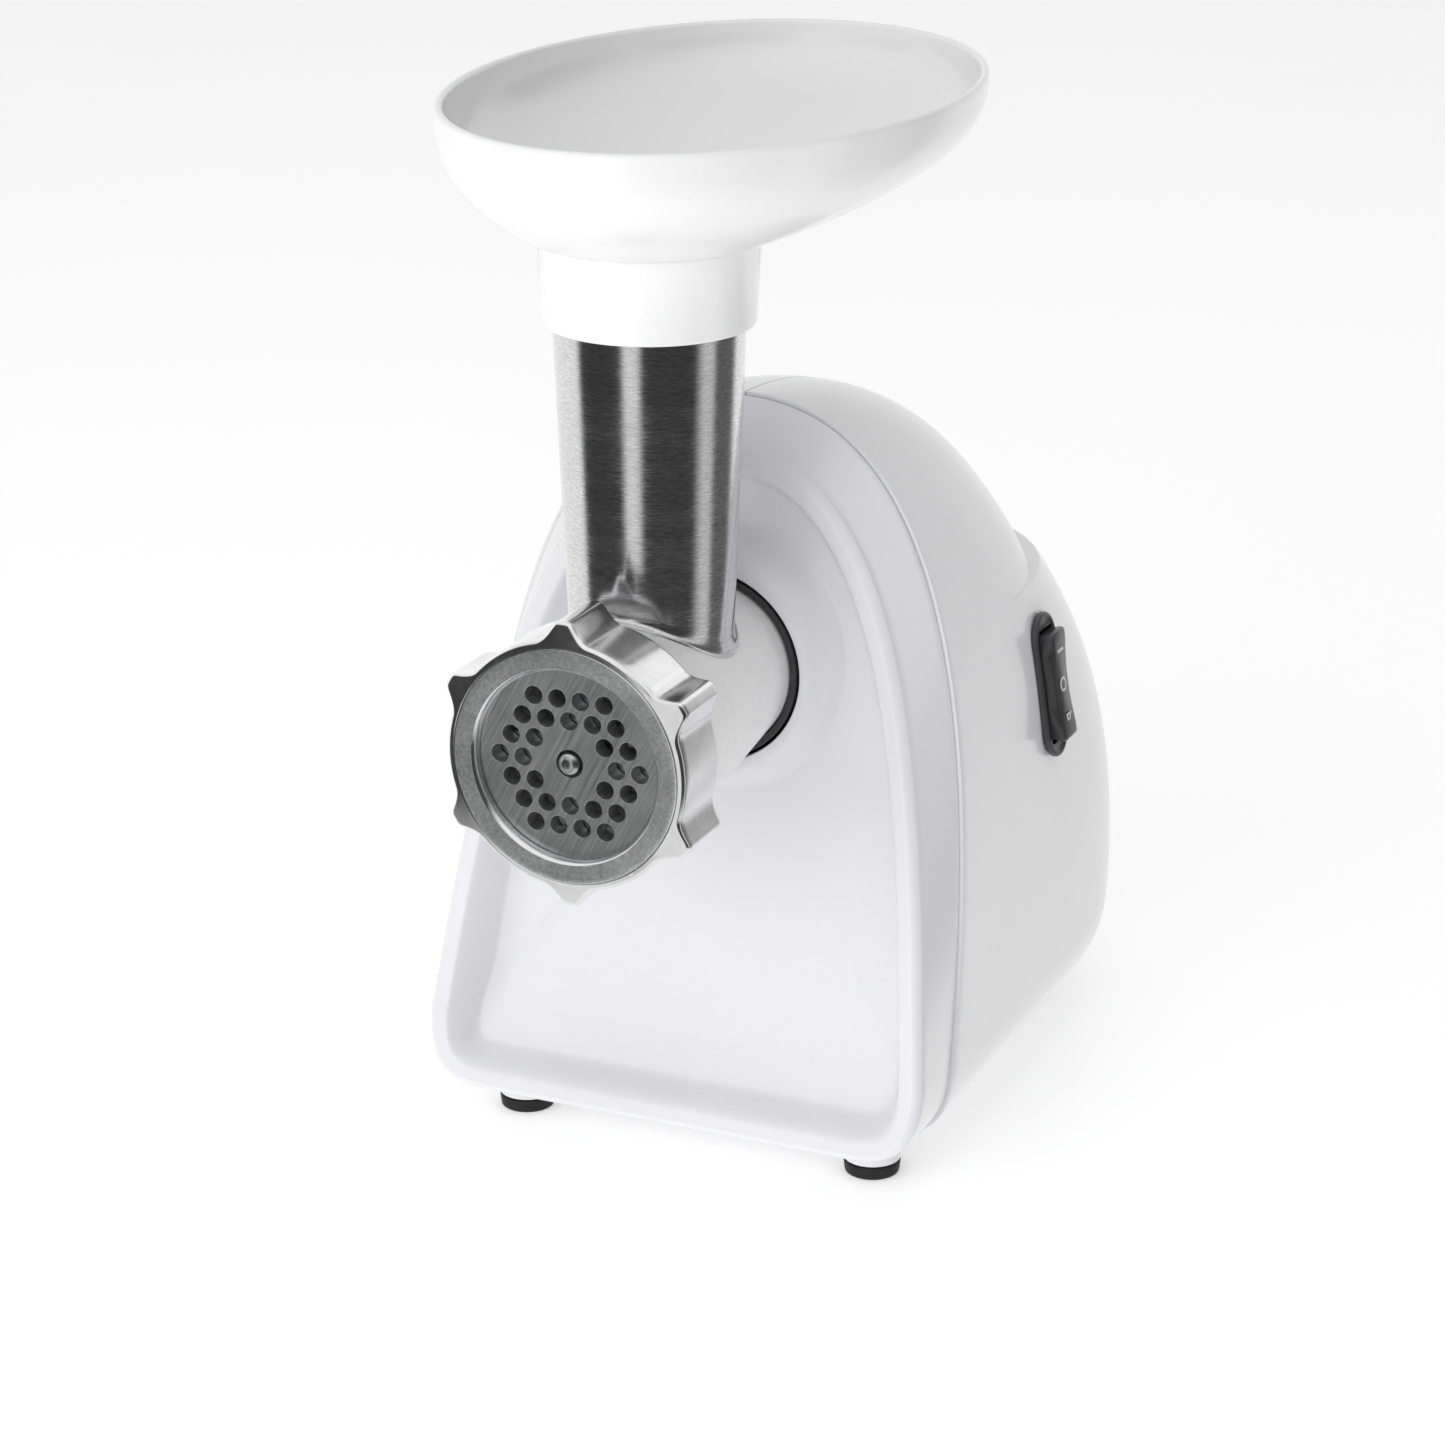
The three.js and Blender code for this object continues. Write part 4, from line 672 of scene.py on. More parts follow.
def front_cover():
    """Rings about the barrel axis: over the rounded rim, down the panel, through the barrel hole
    and back along the inner skin to a tongue behind the seam."""
    spread = even(rim_outline, 1.7)
    turns = np.arctan2(spread[:, 0], AXIS_Z - spread[:, 1])
    turns[0], turns[-1] = 0, math.pi

    def loop(x, y, z):
        right = np.stack([x, y, z], axis=1)
        left = right[1:-1][::-1] * np.array([-1, 1, 1])
        return np.vstack([right, left])

    def reach(outline):
        bearing = np.maximum.accumulate(np.arctan2(outline[:, 0], AXIS_Z - outline[:, 1]))
        return [np.interp(turns, bearing, outline[:, k]) for k in (0, 1)]

    def outline_ring(outline, depth):
        x, z = reach(outline)
        x[0] = x[-1] = 0
        return loop(x, depth(x, z), z)

    def circle(radius):
        return radius * np.sin(turns), AXIS_Z - radius * np.cos(turns)

    def circle_ring(radius, depth):
        x, z = circle(radius)
        return loop(x, depth(x, z) + 0 * x, z)

    def between(outline, radius, share, depth):
        (x, z), (near_x, near_z) = reach(outline), circle(radius)
        x, z = lerp(x, near_x, share), lerp(z, near_z, share)
        x[0] = x[-1] = 0
        return loop(x, depth(x, z), z)

    def quarter(steps):
        return np.linspace(0, math.pi / 2, steps)

    seam_round, rim_round, hole_round = 0.35, 3.0, 0.5
    panel_inset, step_start = 10.6, 5.0
    rings = []
    cover_seam = inset(seam_outline, 0.9)
    for a in quarter(5):
        rings.append(outline_ring(inset(cover_seam, seam_round * (1 - math.sin(a))),
                                  lambda x, z: seam_y(z) - GAP / 2 - seam_round * (1 - math.cos(a))))
    for share in np.linspace(0, 1, 10)[1:]:
        mixed = lerp(cover_seam, rim_outline, share)
        rings.append(outline_ring(mixed, lambda x, z: lerp(
            seam_y(z) - GAP / 2 - seam_round, rim_y(z) + rim_round, share)))
    for a in quarter(11)[1:]:
        rings.append(outline_ring(inset(rim_outline, rim_round * (1 - math.cos(a))),
                                  lambda x, z: rim_y(z) + rim_round * (1 - math.sin(a))))
    for distance in np.linspace(rim_round, panel_inset, 18)[1:]:
        share = smooth(distance, step_start, panel_inset)
        rings.append(outline_ring(inset(rim_outline, distance),
                                  lambda x, z: lerp(rim_y(z), panel_y(x, z), share)))
    panel_edge = inset(rim_outline, panel_inset)
    boss_foot = BOSS_R + BOSS_FILLET
    for share in np.linspace(0, 1, 46)[1:]:
        rings.append(between(panel_edge, boss_foot, share, panel_y))
    for radius in np.linspace(boss_foot, BOSS_R, 14)[1:]:
        rings.append(circle_ring(radius, panel_y))
    for a in quarter(5):
        rings.append(circle_ring(SOCKET_HOLE_R + hole_round * (1 - math.sin(a)),
                                 lambda x, z: BOSS_Y + hole_round * (1 - math.cos(a))))

    def panel_back(x, z):
        return panel_y(x, z) + WALL

    rings += [
        circle_ring(SOCKET_HOLE_R, lambda x, z: BOSS_Y + WALL),
        circle_ring(boss_foot, panel_back),
        outline_ring(inset(rim_outline, 11.5), panel_back),
        outline_ring(inset(rim_outline, 7.4), panel_back),
        outline_ring(inset(rim_outline, 4.6), lambda x, z: rim_y(z) + 3.4),
        outline_ring(inset(rim_outline, WALL), lambda x, z: rim_y(z) + 4.6),
        outline_ring(inset(seam_outline, 4.3), lambda x, z: seam_y(z) - 2.5),
        outline_ring(inset(seam_outline, 4.3), lambda x, z: seam_y(z) + 3.5),
        outline_ring(inset(seam_outline, 3.1), lambda x, z: seam_y(z) + 3.5),
        outline_ring(inset(seam_outline, 3.1), lambda x, z: seam_y(z) - 0.6),
        outline_ring(inset(seam_outline, 2.0), lambda x, z: seam_y(z) - 0.6),
        outline_ring(inset(seam_outline, 1.6), lambda x, z: seam_y(z) - GAP / 2),
    ]
    cover = loft("front_cover_shell", rings, [WHITE], sharp=50)
    bosses = []
    for node in ("foot_pad_front_left", "foot_pad_front_right"):
        bosses.append(foot_boss(node, [(6.7, 0), (7.3, 0.25), (7.5, 0.9)],
                                [(7.5, 8.4), (7.9, 9.2), (9.0, 9.8), (0, 10.2)]))
    return joined(cover, bosses)


add_piece(front_cover(), "motor_base", "white", "front_cover")

# ---------------------------------------------------------------- rear shells


def side_path():
    """The back in side view as points (y, z): the lower bulge, the ledge and the upper slope."""
    lower = np.vstack([
        bezier([(214, SEAM_FLOOR), (229, SEAM_FLOOR), (235, 18), (236, 42)], 60),
        bezier([(236, 42), (237, 78), (229, 112), (213, SHELF_Z)], 80)[1:],
    ])
    upper = bezier([(203, SHELF_Z), (194, 170), (160, 190), (102.5, SEAM_TOP)], 240)
    lip, root = 1.8, 2.4
    trimmed_lower = lower[np.hypot(*(lower - lower[-1]).T) > lip]
    trimmed_upper = upper[np.hypot(*(upper - upper[0]).T) > root]
    middle = (lower[-1] + upper[0]) / 2
    corner = rounded([trimmed_lower[-1], lower[-1], middle, upper[0], trimmed_upper[0]], [3.0, 0, 3.0], 8)
    lower_even = even(trimmed_lower, 1.6)
    upper_even = even(trimmed_upper, 1.5)
    return np.vstack([lower_even, corner[1:-1], upper_even])


def shell_row(rear, z):
    """One level of the right shell, seam to back centre."""
    half = max(float(np.interp(z, seam_heights, seam_widths)) - GAP / 2, 0)
    front = seam_y(z) + GAP / 2
    rear = max(rear, front)
    height = (z - SEAM_FLOOR) / (SEAM_TOP - SEAM_FLOOR)
    straight = lerp(front, rear, 0.62 * (1 - height ** 3))
    power = lerp(3.5, 2.05, smooth(height, 0.15, 0.85))
    angles = np.linspace(0, math.pi / 2, 49)
    across = np.cos(angles) ** (2 / power)
    across[-1] = 0
    x = np.r_[np.full(22, half), half * across]
    round_back = straight + (rear - straight) * np.sin(angles) ** (2 / power)
    y = np.r_[np.linspace(front, straight, 23)[:-1], round_back]
    taper = 1 - SIDE_TAPER * ((y - front) / max(rear - front, 1))
    return np.stack([x * taper + GAP / 2, y, np.full_like(x, z)], axis=1)


seam_side = seam_outline[40:]
seam_heights, seam_widths = seam_side[:, 1], seam_side[:, 0]


def rear_shell(side):
    rows = np.array([shell_row(y, z) for y, z in side_path()])
    count, columns = rows.shape[:2]
    faces = [(i * columns + j, i * columns + j + 1, (i + 1) * columns + j + 1, (i + 1) * columns + j)
             for i in range(count - 1) for j in range(columns - 1)]
    vertices = placed(rows.reshape(-1, 3))
    shell = new_object("rear_shell_" + side + "_skin", vertices, faces, [WHITE])
    body = bmesh.new()
    body.from_mesh(shell.data)
    bmesh.ops.remove_doubles(body, verts=body.verts, dist=2e-6)
    bmesh.ops.recalc_face_normals(body, faces=body.faces)
    outward = sum(face.normal.x for face in body.faces)
    if outward < 0:
        bmesh.ops.reverse_faces(body, faces=body.faces)
    body.to_mesh(shell.data)
    body.free()
    thick = shell.modifiers.new("wall", "SOLIDIFY")
    thick.thickness = WALL * MM
    thick.offset = -1
    thick.use_even_offset = True
    bevel(shell, 0.7, 3, 60)
    apply_modifiers(shell)
    if side == "left":
        settle(shell, Matrix.Scale(-1, 4, (1, 0, 0)))
        shell.data.flip_normals()
    tools = [lathe("grommet_hole", [(0, 215), (6.4, 215), (6.4, 245), (0, 245)], WHITE, 64, "y",
                   (0, 0, GROMMET_Z))]
    if side == "right":
        w, h = SWITCH_HALF_WIDTH - 1, SWITCH_HALF_HEIGHT - 1
        tools.append(switch_oval("switch_window", w, h, -12, 12, WHITE))
    combine(shell, tools)
    soften(shell, 38)
    return shell


# ---------------------------------------------------------------- switch


def in_switch_frame(obj):
    """From the switch's own millimetres, where +X points out of the housing, to its place."""
    x, y, z = JOINTS["switch_rock"]["pos_m"]
    return settle(obj, Matrix.Translation((x, y, z)) @ Matrix.Rotation(SWITCH_LEAN, 4, "Y"))


def oval_loop(half_width, half_height, steps=28):
    """A flat-sided oval as points (y, z)."""
    straight = half_height - half_width
    top = np.linspace(0, math.pi, steps)
    upper = [(half_width * math.cos(a), straight + half_width * math.sin(a)) for a in top]
    return np.array(upper + [(-y, -z) for y, z in upper])


def oval_rings(levels):
    """Rings of a stepped oval; each level is (x, half width, half height)."""
    rings = []
    for x, half_width, half_height in levels:
        loop = oval_loop(half_width, half_height)
        rings.append(np.column_stack([np.full(len(loop), x), loop]))
    return rings


def local_loft(name, rings, material, wrap, sharp=35):
    """A loft in a frame of its own, in metres about its own origin."""
    obj = loft(name, rings, [material], None, wrap, sharp)
    return settle(obj, Matrix.Translation((0, -FACE_Y, 0)))


def switch_oval(name, half_width, half_height, x0, x1, material):
    rings = oval_rings([(x0, half_width, half_height), (x1, half_width, half_height)])
    return in_switch_frame(local_loft(name, rings, material, False))


def switch_body():
    """A thin rounded bezel over the window, with a well for the rocker."""
    w, h = SWITCH_HALF_WIDTH, SWITCH_HALF_HEIGHT
    rings = oval_rings([
        (-18, w - 1.5, h - 1.5), (0.5, w - 1.5, h - 1.5), (0.5, w - 0.15, h - 0.15), (0.8, w, h),
        (1.5, w, h), (1.9, w - 0.25, h - 0.25), (2.1, w - 0.8, h - 0.8), (2.1, w - 1.3, h - 1.3),
        (1.9, w - 1.6, h - 1.6),
    ])
    body = local_loft("switch_bezel", rings, BLACK, False)
    square = 14.2
    side = ROCKER_HALF_WIDTH + GAP
    corners = rounded([(-side, 0), (-side, square + 1.4), (side, square + 1.4), (side, 0)], 1.2, 5)
    outline = np.vstack([corners[1:-1], -corners[1:-1]])
    rings = [np.column_stack([np.full(len(outline), x), outline]) for x in (-13, 6)]
    well = local_loft("switch_well", rings, BLACK, False)
    combine(body, [well])
    soften(body, 35)
    return in_switch_frame(body)


def rocker_face(z):
    """How far the dished face stands out at a height."""
    return ROCKER_REACH - ROCKER_DISH * (1 - (z / ROCKER_DISH_SPAN) ** 2)


def switch_rocker():
    """A thick dished paddle with rounded ends, carrying three generic marks."""
    half, reach = ROCKER_HALF_WIDTH, ROCKER_REACH
    crown = np.array([(rocker_face(z), z) for z in np.linspace(-12.2, 12.2, 31)])
    outline = np.vstack([
        rounded([(-2, -13.5), (reach - 0.3, -15.1), crown[0]], 1.9, 9),
        crown[1:-1],
        rounded([crown[-1], (reach - 0.3, 15.1), (-2, 13.5)], 1.9, 9),
        [(-6, 3), (-6, -3)],
    ])
    rings = []
    for y, shrink in ((-half, 1.0), (-half + 0.3, 0.3), (-half + 1.0, 0), (half - 1.0, 0),
                      (half - 0.3, 0.3), (half, 1.0)):
        length = np.hypot(*outline.T)[:, None]
        pulled = outline - outline / length * shrink
        rings.append(np.column_stack([pulled[:, 0], np.full(len(pulled), y), pulled[:, 1]]))
    rocker = local_loft("switch_paddle", rings, ROCKER, False, 50)
    return in_switch_frame(rocker)


def mark(name, loops, z, turn=0.0):
    """A thin printed mark that stands a hair above the rocker's face at one height."""
    print_thick = 0.16
    obj = slab(name, loops, print_thick, MARK, 0.03, 1)
    slope = math.atan(2 * ROCKER_DISH * z / ROCKER_DISH_SPAN ** 2)
    upright = Matrix(((0, 0, 1, 0), (1, 0, 0, 0), (0, 1, 0, 0), (0, 0, 0, 1)))
    place = Matrix.Translation(((rocker_face(z) - 0.05) * MM, 0, z * MM))
    settle(obj, place @ Matrix.Rotation(-slope, 4, "Y") @ upright @ Matrix.Rotation(turn, 4, "Z"))
    return in_switch_frame(obj)


def switch_marks():
    bar = [(-0.42, -2.0), (0.42, -2.0), (0.42, 2.0), (-0.42, 2.0)]
    arrow = [(-1.9, -1.5), (1.9, -1.5), (0, 2.0)]
    hollow = [(-0.85, -0.9), (0.85, -0.9), (0, 0.7)]
    return [
        mark("mark_forward_bar", [bar], 9.4, math.radians(90)),
        mark("mark_off_ring", [circle_loop(2.0), circle_loop(1.35)], 0.0),
        mark("mark_reverse_arrow", [arrow, hollow[::-1]], -9.4, math.radians(180)),
    ]


for shell_side in ("right", "left"):
    add_piece(rear_shell(shell_side), "motor_base", "white", "rear_shell_" + shell_side)
add_piece(switch_body(), "motor_base", "black", "switch_body")
add_piece(switch_rocker(), "rocker", "black", "switch_rocker")
for printed in switch_marks():
    add_piece(printed, "rocker", "white")

# ---------------------------------------------------------------- grinding head


def barrel_radius(y):
    """The barrel's outer radius behind its thread."""
    ys = [14, 16.5, 19, 20.2, 50, 72, 76, 81.6]
    rs = [THREAD_R, 28.6, 28.6, 28.0, 25.6, 23.2, 22.6, 22.6]
    return np.interp(y, ys, rs)


def tube_radius(z):
    return lerp(TUBE_FOOT_R, TUBE_TOP_R, (z - AXIS_Z) / (TUBE_TOP_Z - AXIS_Z))


def saddle():
    """The lip where the tube stands on the barrel: a short concave sweep with a crisp edge."""
    steps = 192
    angles = np.arange(steps) * 2 * math.pi / steps

    def on_barrel(radius):
        """Where a circle of these radii about the tube's axis meets the barrel."""
        x, y = radius * np.sin(angles), FEED_Y + radius * np.cos(angles)
        return np.stack([x, y, AXIS_Z + np.sqrt(np.maximum(barrel_radius(y) ** 2 - x ** 2, 1.0))], axis=1)

    corner = on_barrel(np.full(steps, TUBE_FOOT_R))
    for _ in range(6):
        corner = on_barrel(tube_radius(corner[:, 2]))
    radius = tube_radius(corner[:, 2])
    sideways = np.sin(angles) ** 2
    foot = on_barrel(radius + lerp(1.8, 0.8, sideways))
    top_z = corner[:, 2] + 3.0
    top_r = tube_radius(top_z) + 0.02
    top = np.stack([top_r * np.sin(angles), FEED_Y + top_r * np.cos(angles), top_z], axis=1)
    outward = foot - np.stack([np.zeros(steps), foot[:, 1], np.full(steps, AXIS_Z)], axis=1)
    outward /= np.linalg.norm(outward, axis=1)[:, None]
    lip = foot + outward * 0.35
    rings = []
    for u in np.linspace(0, 1, 9):
        rings.append((1 - u) ** 2 * top + 2 * (1 - u) * u * (corner + outward * 0.3) + u * u * lip)
    rings.append(foot + outward * 0.2 + (foot - corner) * 0.08)
    rings.append(foot - outward * 0.8 + (foot - corner) * 0.08)
    tube_axis = np.array([0, FEED_Y, 0])
    narrower = np.array([0.93, 0.93, 1])
    rings.append((corner - tube_axis) * narrower + tube_axis - np.array([0, 0, 1.5]))
    rings.append((top - tube_axis) * narrower + tube_axis)
    return loft("saddle_lip", rings, [TUBE], None, True, 40)


def sectors(name, radii, ys, first, half, steps, material):
    """Three equal blocks between two radii about the barrel's axis."""
    inner, outer = radii
    blocks = []
    for i in range(3):
        middle = first + i * 2 * math.pi / 3
        arc = np.linspace(middle - half, middle + half, steps)
        loop = [(outer * math.cos(a), outer * math.sin(a)) for a in arc]
        loop += [(inner * math.cos(a), inner * math.sin(a)) for a in arc[::-1]]
        rings = [[(x, y, AXIS_Z + z) for x, z in loop] for y in ys]
        blocks.append(loft(f"{name}_{i}", rings, [material], None, False))
    return blocks


def grinding_head():
    steps = 192
    profile = [(0, 0.5), (THREAD_R - 1.0, 0.5), (THREAD_R - 0.3, 1.3)]
    profile += [(THREAD_R, y) for y in np.arange(1.7, 13.8, 0.25)]
    behind_thread = [
        (THREAD_R - 0.1, 14), (28.6, 16.2), (28.6, 19.2), (27.9, 20.4), (25.6, 50), (23.2, 72), (22.6, 76),
        (22.6, 81.6), (SPIGOT_R, 81.6), (SPIGOT_R, SPIGOT_END_Y),
    ]
    profile += list(rounded(behind_thread, [0.4, 0.5, 0.4, 6, 8, 4, 0.4, 0.2], 4))
    profile += [(0, SPIGOT_END_Y)]

    def thread(angles, radius, y):
        if not 1.5 < y < 13.9:
            return np.full(len(angles), radius)
        phase = (y / THREAD_PITCH - angles / (2 * math.pi)) % 1.0
        ridge = np.clip(np.abs(phase - 0.5) * 4 - 0.5, 0, 1)
        fade = smooth(y, 1.5, 3.0) * (1 - smooth(y, 12.4, 13.9))
        return THREAD_R - 0.1 - THREAD_DEPTH * ridge * fade

    rings = lathe_rings(profile[1:-1], steps, "y", (0, 0, AXIS_Z), thread)
    head = loft("head_barrel", rings, [CAST, TUBE], None, False, 40)
    side = [(tube_radius(z), z) for z in np.linspace(AXIS_Z, TUBE_TOP_Z - 0.5, 24)]
    mouth = [(TUBE_TOP_R - 0.15, TUBE_TOP_Z - 0.15), (TUBE_TOP_R - 0.5, TUBE_TOP_Z), (0, TUBE_TOP_Z)]
    tube = lathe("head_tube", [(0, AXIS_Z), *side, *mouth], TUBE, steps, "z", (0, FEED_Y, 0))
    lugs = sectors("lug", (SPIGOT_R - 2, LUG_R), LUG_Y, math.pi / 2, LUG_HALF_ANGLE, 10, CAST)
    combine(head, [tube, saddle(), *lugs], "UNION")
    bore_profile = [
        (0, -1), (COUNTERBORE_R, -1), (COUNTERBORE_R, COUNTERBORE_END), (BORE_R, COUNTERBORE_END + 0.4),
        (BORE_R, REAR_WALL_Y), (0, REAR_WALL_Y),
    ]
    bore = lathe("bore", bore_profile, CAST, steps, "y", (0, 0, AXIS_Z))
    seat = lathe("seat", [(0, REAR_WALL_Y - 1), (10.8, REAR_WALL_Y - 1), (10.8, SPIGOT_END_Y + 1),
                          (0, SPIGOT_END_Y + 1)], CAST, 96, "y", (0, 0, AXIS_Z))
    throat = lathe("throat", [(0, AXIS_Z), (TUBE_FOOT_R - TUBE_WALL, AXIS_Z),
                              (TUBE_TOP_R - TUBE_WALL, TUBE_TOP_Z + 1), (0, TUBE_TOP_Z + 1)],
                   CAST, steps, "z", (0, FEED_Y, 0))
    combine(head, [bore, seat, throat])
    soften(head, 40)
    return head


add_piece(grinding_head(), "head", "cast", "grinding_head")

# ---------------------------------------------------------------- ring nut


def nut_radius(angles):
    """Six narrow lobes with concave flanks; a lobe's tip is flat for a few degrees."""
    period = 360 / NUT_LOBES
    away = np.abs((np.degrees(angles) - NUT_PHASE + period / 2) % period - period / 2)
    tip, foot = 2.8, 12.8
    share = np.clip((foot - away) / (foot - tip), 0, 1) ** 2
    radius = NUT_R + share * (NUT_TIP_R - NUT_R)
    kernel = np.exp(-np.linspace(-2, 2, 9) ** 2)
    kernel /= kernel.sum()
    return np.convolve(np.r_[radius[-4:], radius, radius[:4]], kernel, "valid")


def ring_nut():
    """A blasted flat face with a turned line round it, a polished slope out to the lobed edge,
    a chamfer brightened by the painted corner highlight of its finish, the lobed flanks and the bore."""
    steps = 720
    angles = np.arange(steps) * 2 * math.pi / steps
    lobes = nut_radius(angles)

    def ring(radius, y):
        x, z = radius * np.cos(angles), AXIS_Z + radius * np.sin(angles)
        return np.stack([x, y + 0 * x, z], axis=1)

    front, back, chamfer = NUT_FRONT_Y, NUT_BACK_Y, 0.8
    bore = [
        (NUT_BORE_R + 0.3, back), (NUT_BORE_R, back - 0.4), (NUT_BORE_R, 4), (NUT_BORE_R, -GAP),
        (NUT_MOUTH_R + 0.15, -GAP), (NUT_MOUTH_R, -GAP - 0.15), (NUT_MOUTH_R, front + 1.5),
        (NUT_MOUTH_R + 0.06, front + 1.2), (NUT_MOUTH_R + 0.75, front + 0.15), (NUT_MOUTH_R + 0.95, front),
    ]
    face = [(26.5, front), (28.0, front), (29.1, front)]
    line = [(29.22, front + 0.04), (29.35, front + 0.22), (29.5, front + 0.24), (29.65, front + 0.1)]
    rings = [ring(np.full(steps, radius), y) for radius, y in bore + face + line]
    slots = [0] * (len(bore) - 1) + [1] * len(face) + [0] * (len(line) - 1)
    slope = 0.24
    edge_y = front + 0.1 + slope * (lobes - chamfer - line[-1][0])
    rings += [lerp(rings[-1], ring(lobes - chamfer, edge_y), share) for share in (0.02, 0.35, 0.7, 0.9)]
    edge = [(chamfer, 0), (0.62, 0.1), (0.4, 0.28), (0.16, 0.6), (0.04, 0.85), (0, 1.15)]
    rings += [ring(lobes - shrink, edge_y + y) for shrink, y in edge]
    rings += [ring(lobes, y) for y in np.linspace(0.5, back - 1.4, 8)]
    back_edge = [(0.0, 1.0), (0.12, 0.6), (0.7, 0.08), (0.95, 0.0)]
    rings += [ring(lobes - shrink, back - y) for shrink, y in back_edge]
    slots += [0] * (len(rings) - len(slots))
    return loft("nut_body", rings, [NUT, NUT_FACE], slots, True, 32)


add_piece(ring_nut(), "nut", "cast", "ring_nut")

# ---------------------------------------------------------------- cutting set


def plate_holes():
    places = []
    for q in range(-3, 4):
        for r in range(-3, 4):
            shell = max(abs(q), abs(r), abs(q + r))
            if 2 <= shell <= 3:
                places.append((HOLE_PITCH * (q + r / 2), HOLE_PITCH * r * math.sin(math.pi / 3)))
    return places


def upright_in_front(obj, back_y):
    """A slab from its own X, Y, Z to X, Z, -Y, with its lower face at a depth behind the plate's face."""
    turn = Matrix(((1, 0, 0, 0), (0, 0, -1, 0), (0, 1, 0, 0), (0, 0, 0, 1)))
    return settle(obj, Matrix.Translation((0, FACE_Y + back_y * MM, AXIS_Z * MM)) @ turn)


def cutting_plate():
    notch_half, notch_depth = 2.0, 2.6
    start = math.asin(notch_half / PLATE_R)
    angles = np.linspace(-math.pi / 2 + start, 1.5 * math.pi - start, 236)
    edge = [(PLATE_R * math.cos(a), PLATE_R * math.sin(a)) for a in angles]
    edge += [(-notch_half, -PLATE_R + notch_depth), (notch_half, -PLATE_R + notch_depth)]
    holes = [circle_loop(CENTRE_HOLE_R, steps=56)[::-1]]
    holes += [circle_loop(HOLE_R, x, z, 44)[::-1] for x, z in plate_holes()]
    disc = slab("plate_disc", [edge, *holes], PLATE_THICK, PLATE, 0.14, 2)
    return upright_in_front(disc, PLATE_THICK)


def feed_screw():
    """Core, square, domed stud and one tapered flight wound round the core."""
    centre = (0, 0, AXIS_Z)
    core_profile = [
        (0, 10.2), (7.4, 10.2), (8, 10.9), (8, 60), (9.4, 75.6), (7.45, 76.4), (7.45, 86), (5, 87),
        (5, 96.6), (4.6, 97), (0, 97),
    ]
    core = lathe("screw_core", core_profile, SCREW, 96, "y", centre)
    stud_profile = [
        (0, -1.3), (0.45, -1.34), (0.55, -1.5), (1.1, -1.46), (1.5, -1.34), (1.62, -1.16), (1.75, -1.2),
        (2.2, -0.92), (2.6, -0.5), (STUD_R, 0.0), (STUD_R, PLATE_THICK + 0.6), (0, PLATE_THICK + 0.6),
    ]
    stud = lathe("screw_stud", stud_profile, STEEL, 64, "y", centre, sharp=25)
    low, high = (-3.6, PLATE_THICK + 0.2, AXIS_Z - 3.6), (3.6, 10.6, AXIS_Z + 3.6)
    square = new_object("screw_square", *box_mesh(low, high), [STEEL])
    one_side = [(6.5, -2.6), (8.6, -2.1), (18.6, -1.15), (19.2, -0.7)]
    section = one_side + [(r, -dy) for r, dy in one_side[::-1]]
    pitch, start, end = 25.0, 12.8, 74.0
    turns = (end - start) / pitch
    rings = []
    for u in np.linspace(0, 1, int(turns * 72)):
        angle, y = u * turns * 2 * math.pi, lerp(start, end, u)
        rings.append([(r * math.cos(angle), y + dy, AXIS_Z + r * math.sin(angle)) for r, dy in section])
    flight = loft("screw_flight", rings, [SCREW], None, False, 40)
    core.data.materials.append(STEEL)
    for extra in (stud, square):
        extra.data.materials.clear()
        extra.data.materials.append(SCREW)
        extra.data.materials.append(STEEL)
        extra.data.polygons.foreach_set("material_index", [1] * len(extra.data.polygons))
    return joined(core, [flight, stud, square])


def box_mesh(low, high):
    """The corners and faces of a block."""
    corners = [(x, y, z) for x in (low[0], high[0]) for y in (low[1], high[1]) for z in (low[2], high[2])]
    faces = [(0, 1, 3, 2), (4, 6, 7, 5), (0, 4, 5, 1), (2, 3, 7, 6), (0, 2, 6, 4), (1, 5, 7, 3)]
    return placed(corners), faces


add_piece(cutting_plate(), "plate", "steel", "cutting_plate")
add_piece(feed_screw(), "drive_screw", "cast", "feed_screw")

# ---------------------------------------------------------------- lock socket


def lock_socket():
    centre = (0, 0, AXIS_Z)
    corners = [
        (23, 80), (23, 78.2), (24.7, 78.2), (24.7, 94.8), (33, 94.8), (33, 98), (23, 98), (23, 87.4),
        (20.9, 87.4), (20.9, 82.4), (23, 82.4),
    ]
    profile = rounded(corners, [0.3, 0.4, 0.2, 0.3, 0.3, 0.2, 0.2, 0.2, 0.2], 3)
    body = lathe("socket_ring", profile, BLACK, 192, "y", centre, wrap=True)
    unlocked = math.pi / 2 - math.radians(40)
    half = LUG_HALF_ANGLE + 0.06
    combine(body, sectors("notch", (18.0, 23.0), (81.4, 88.4), unlocked, half, 12, BLACK))
    soften(body, 35)
    return body


add_piece(lock_socket(), "motor_base", "black", "lock_socket")

# ---------------------------------------------------------------- food tray


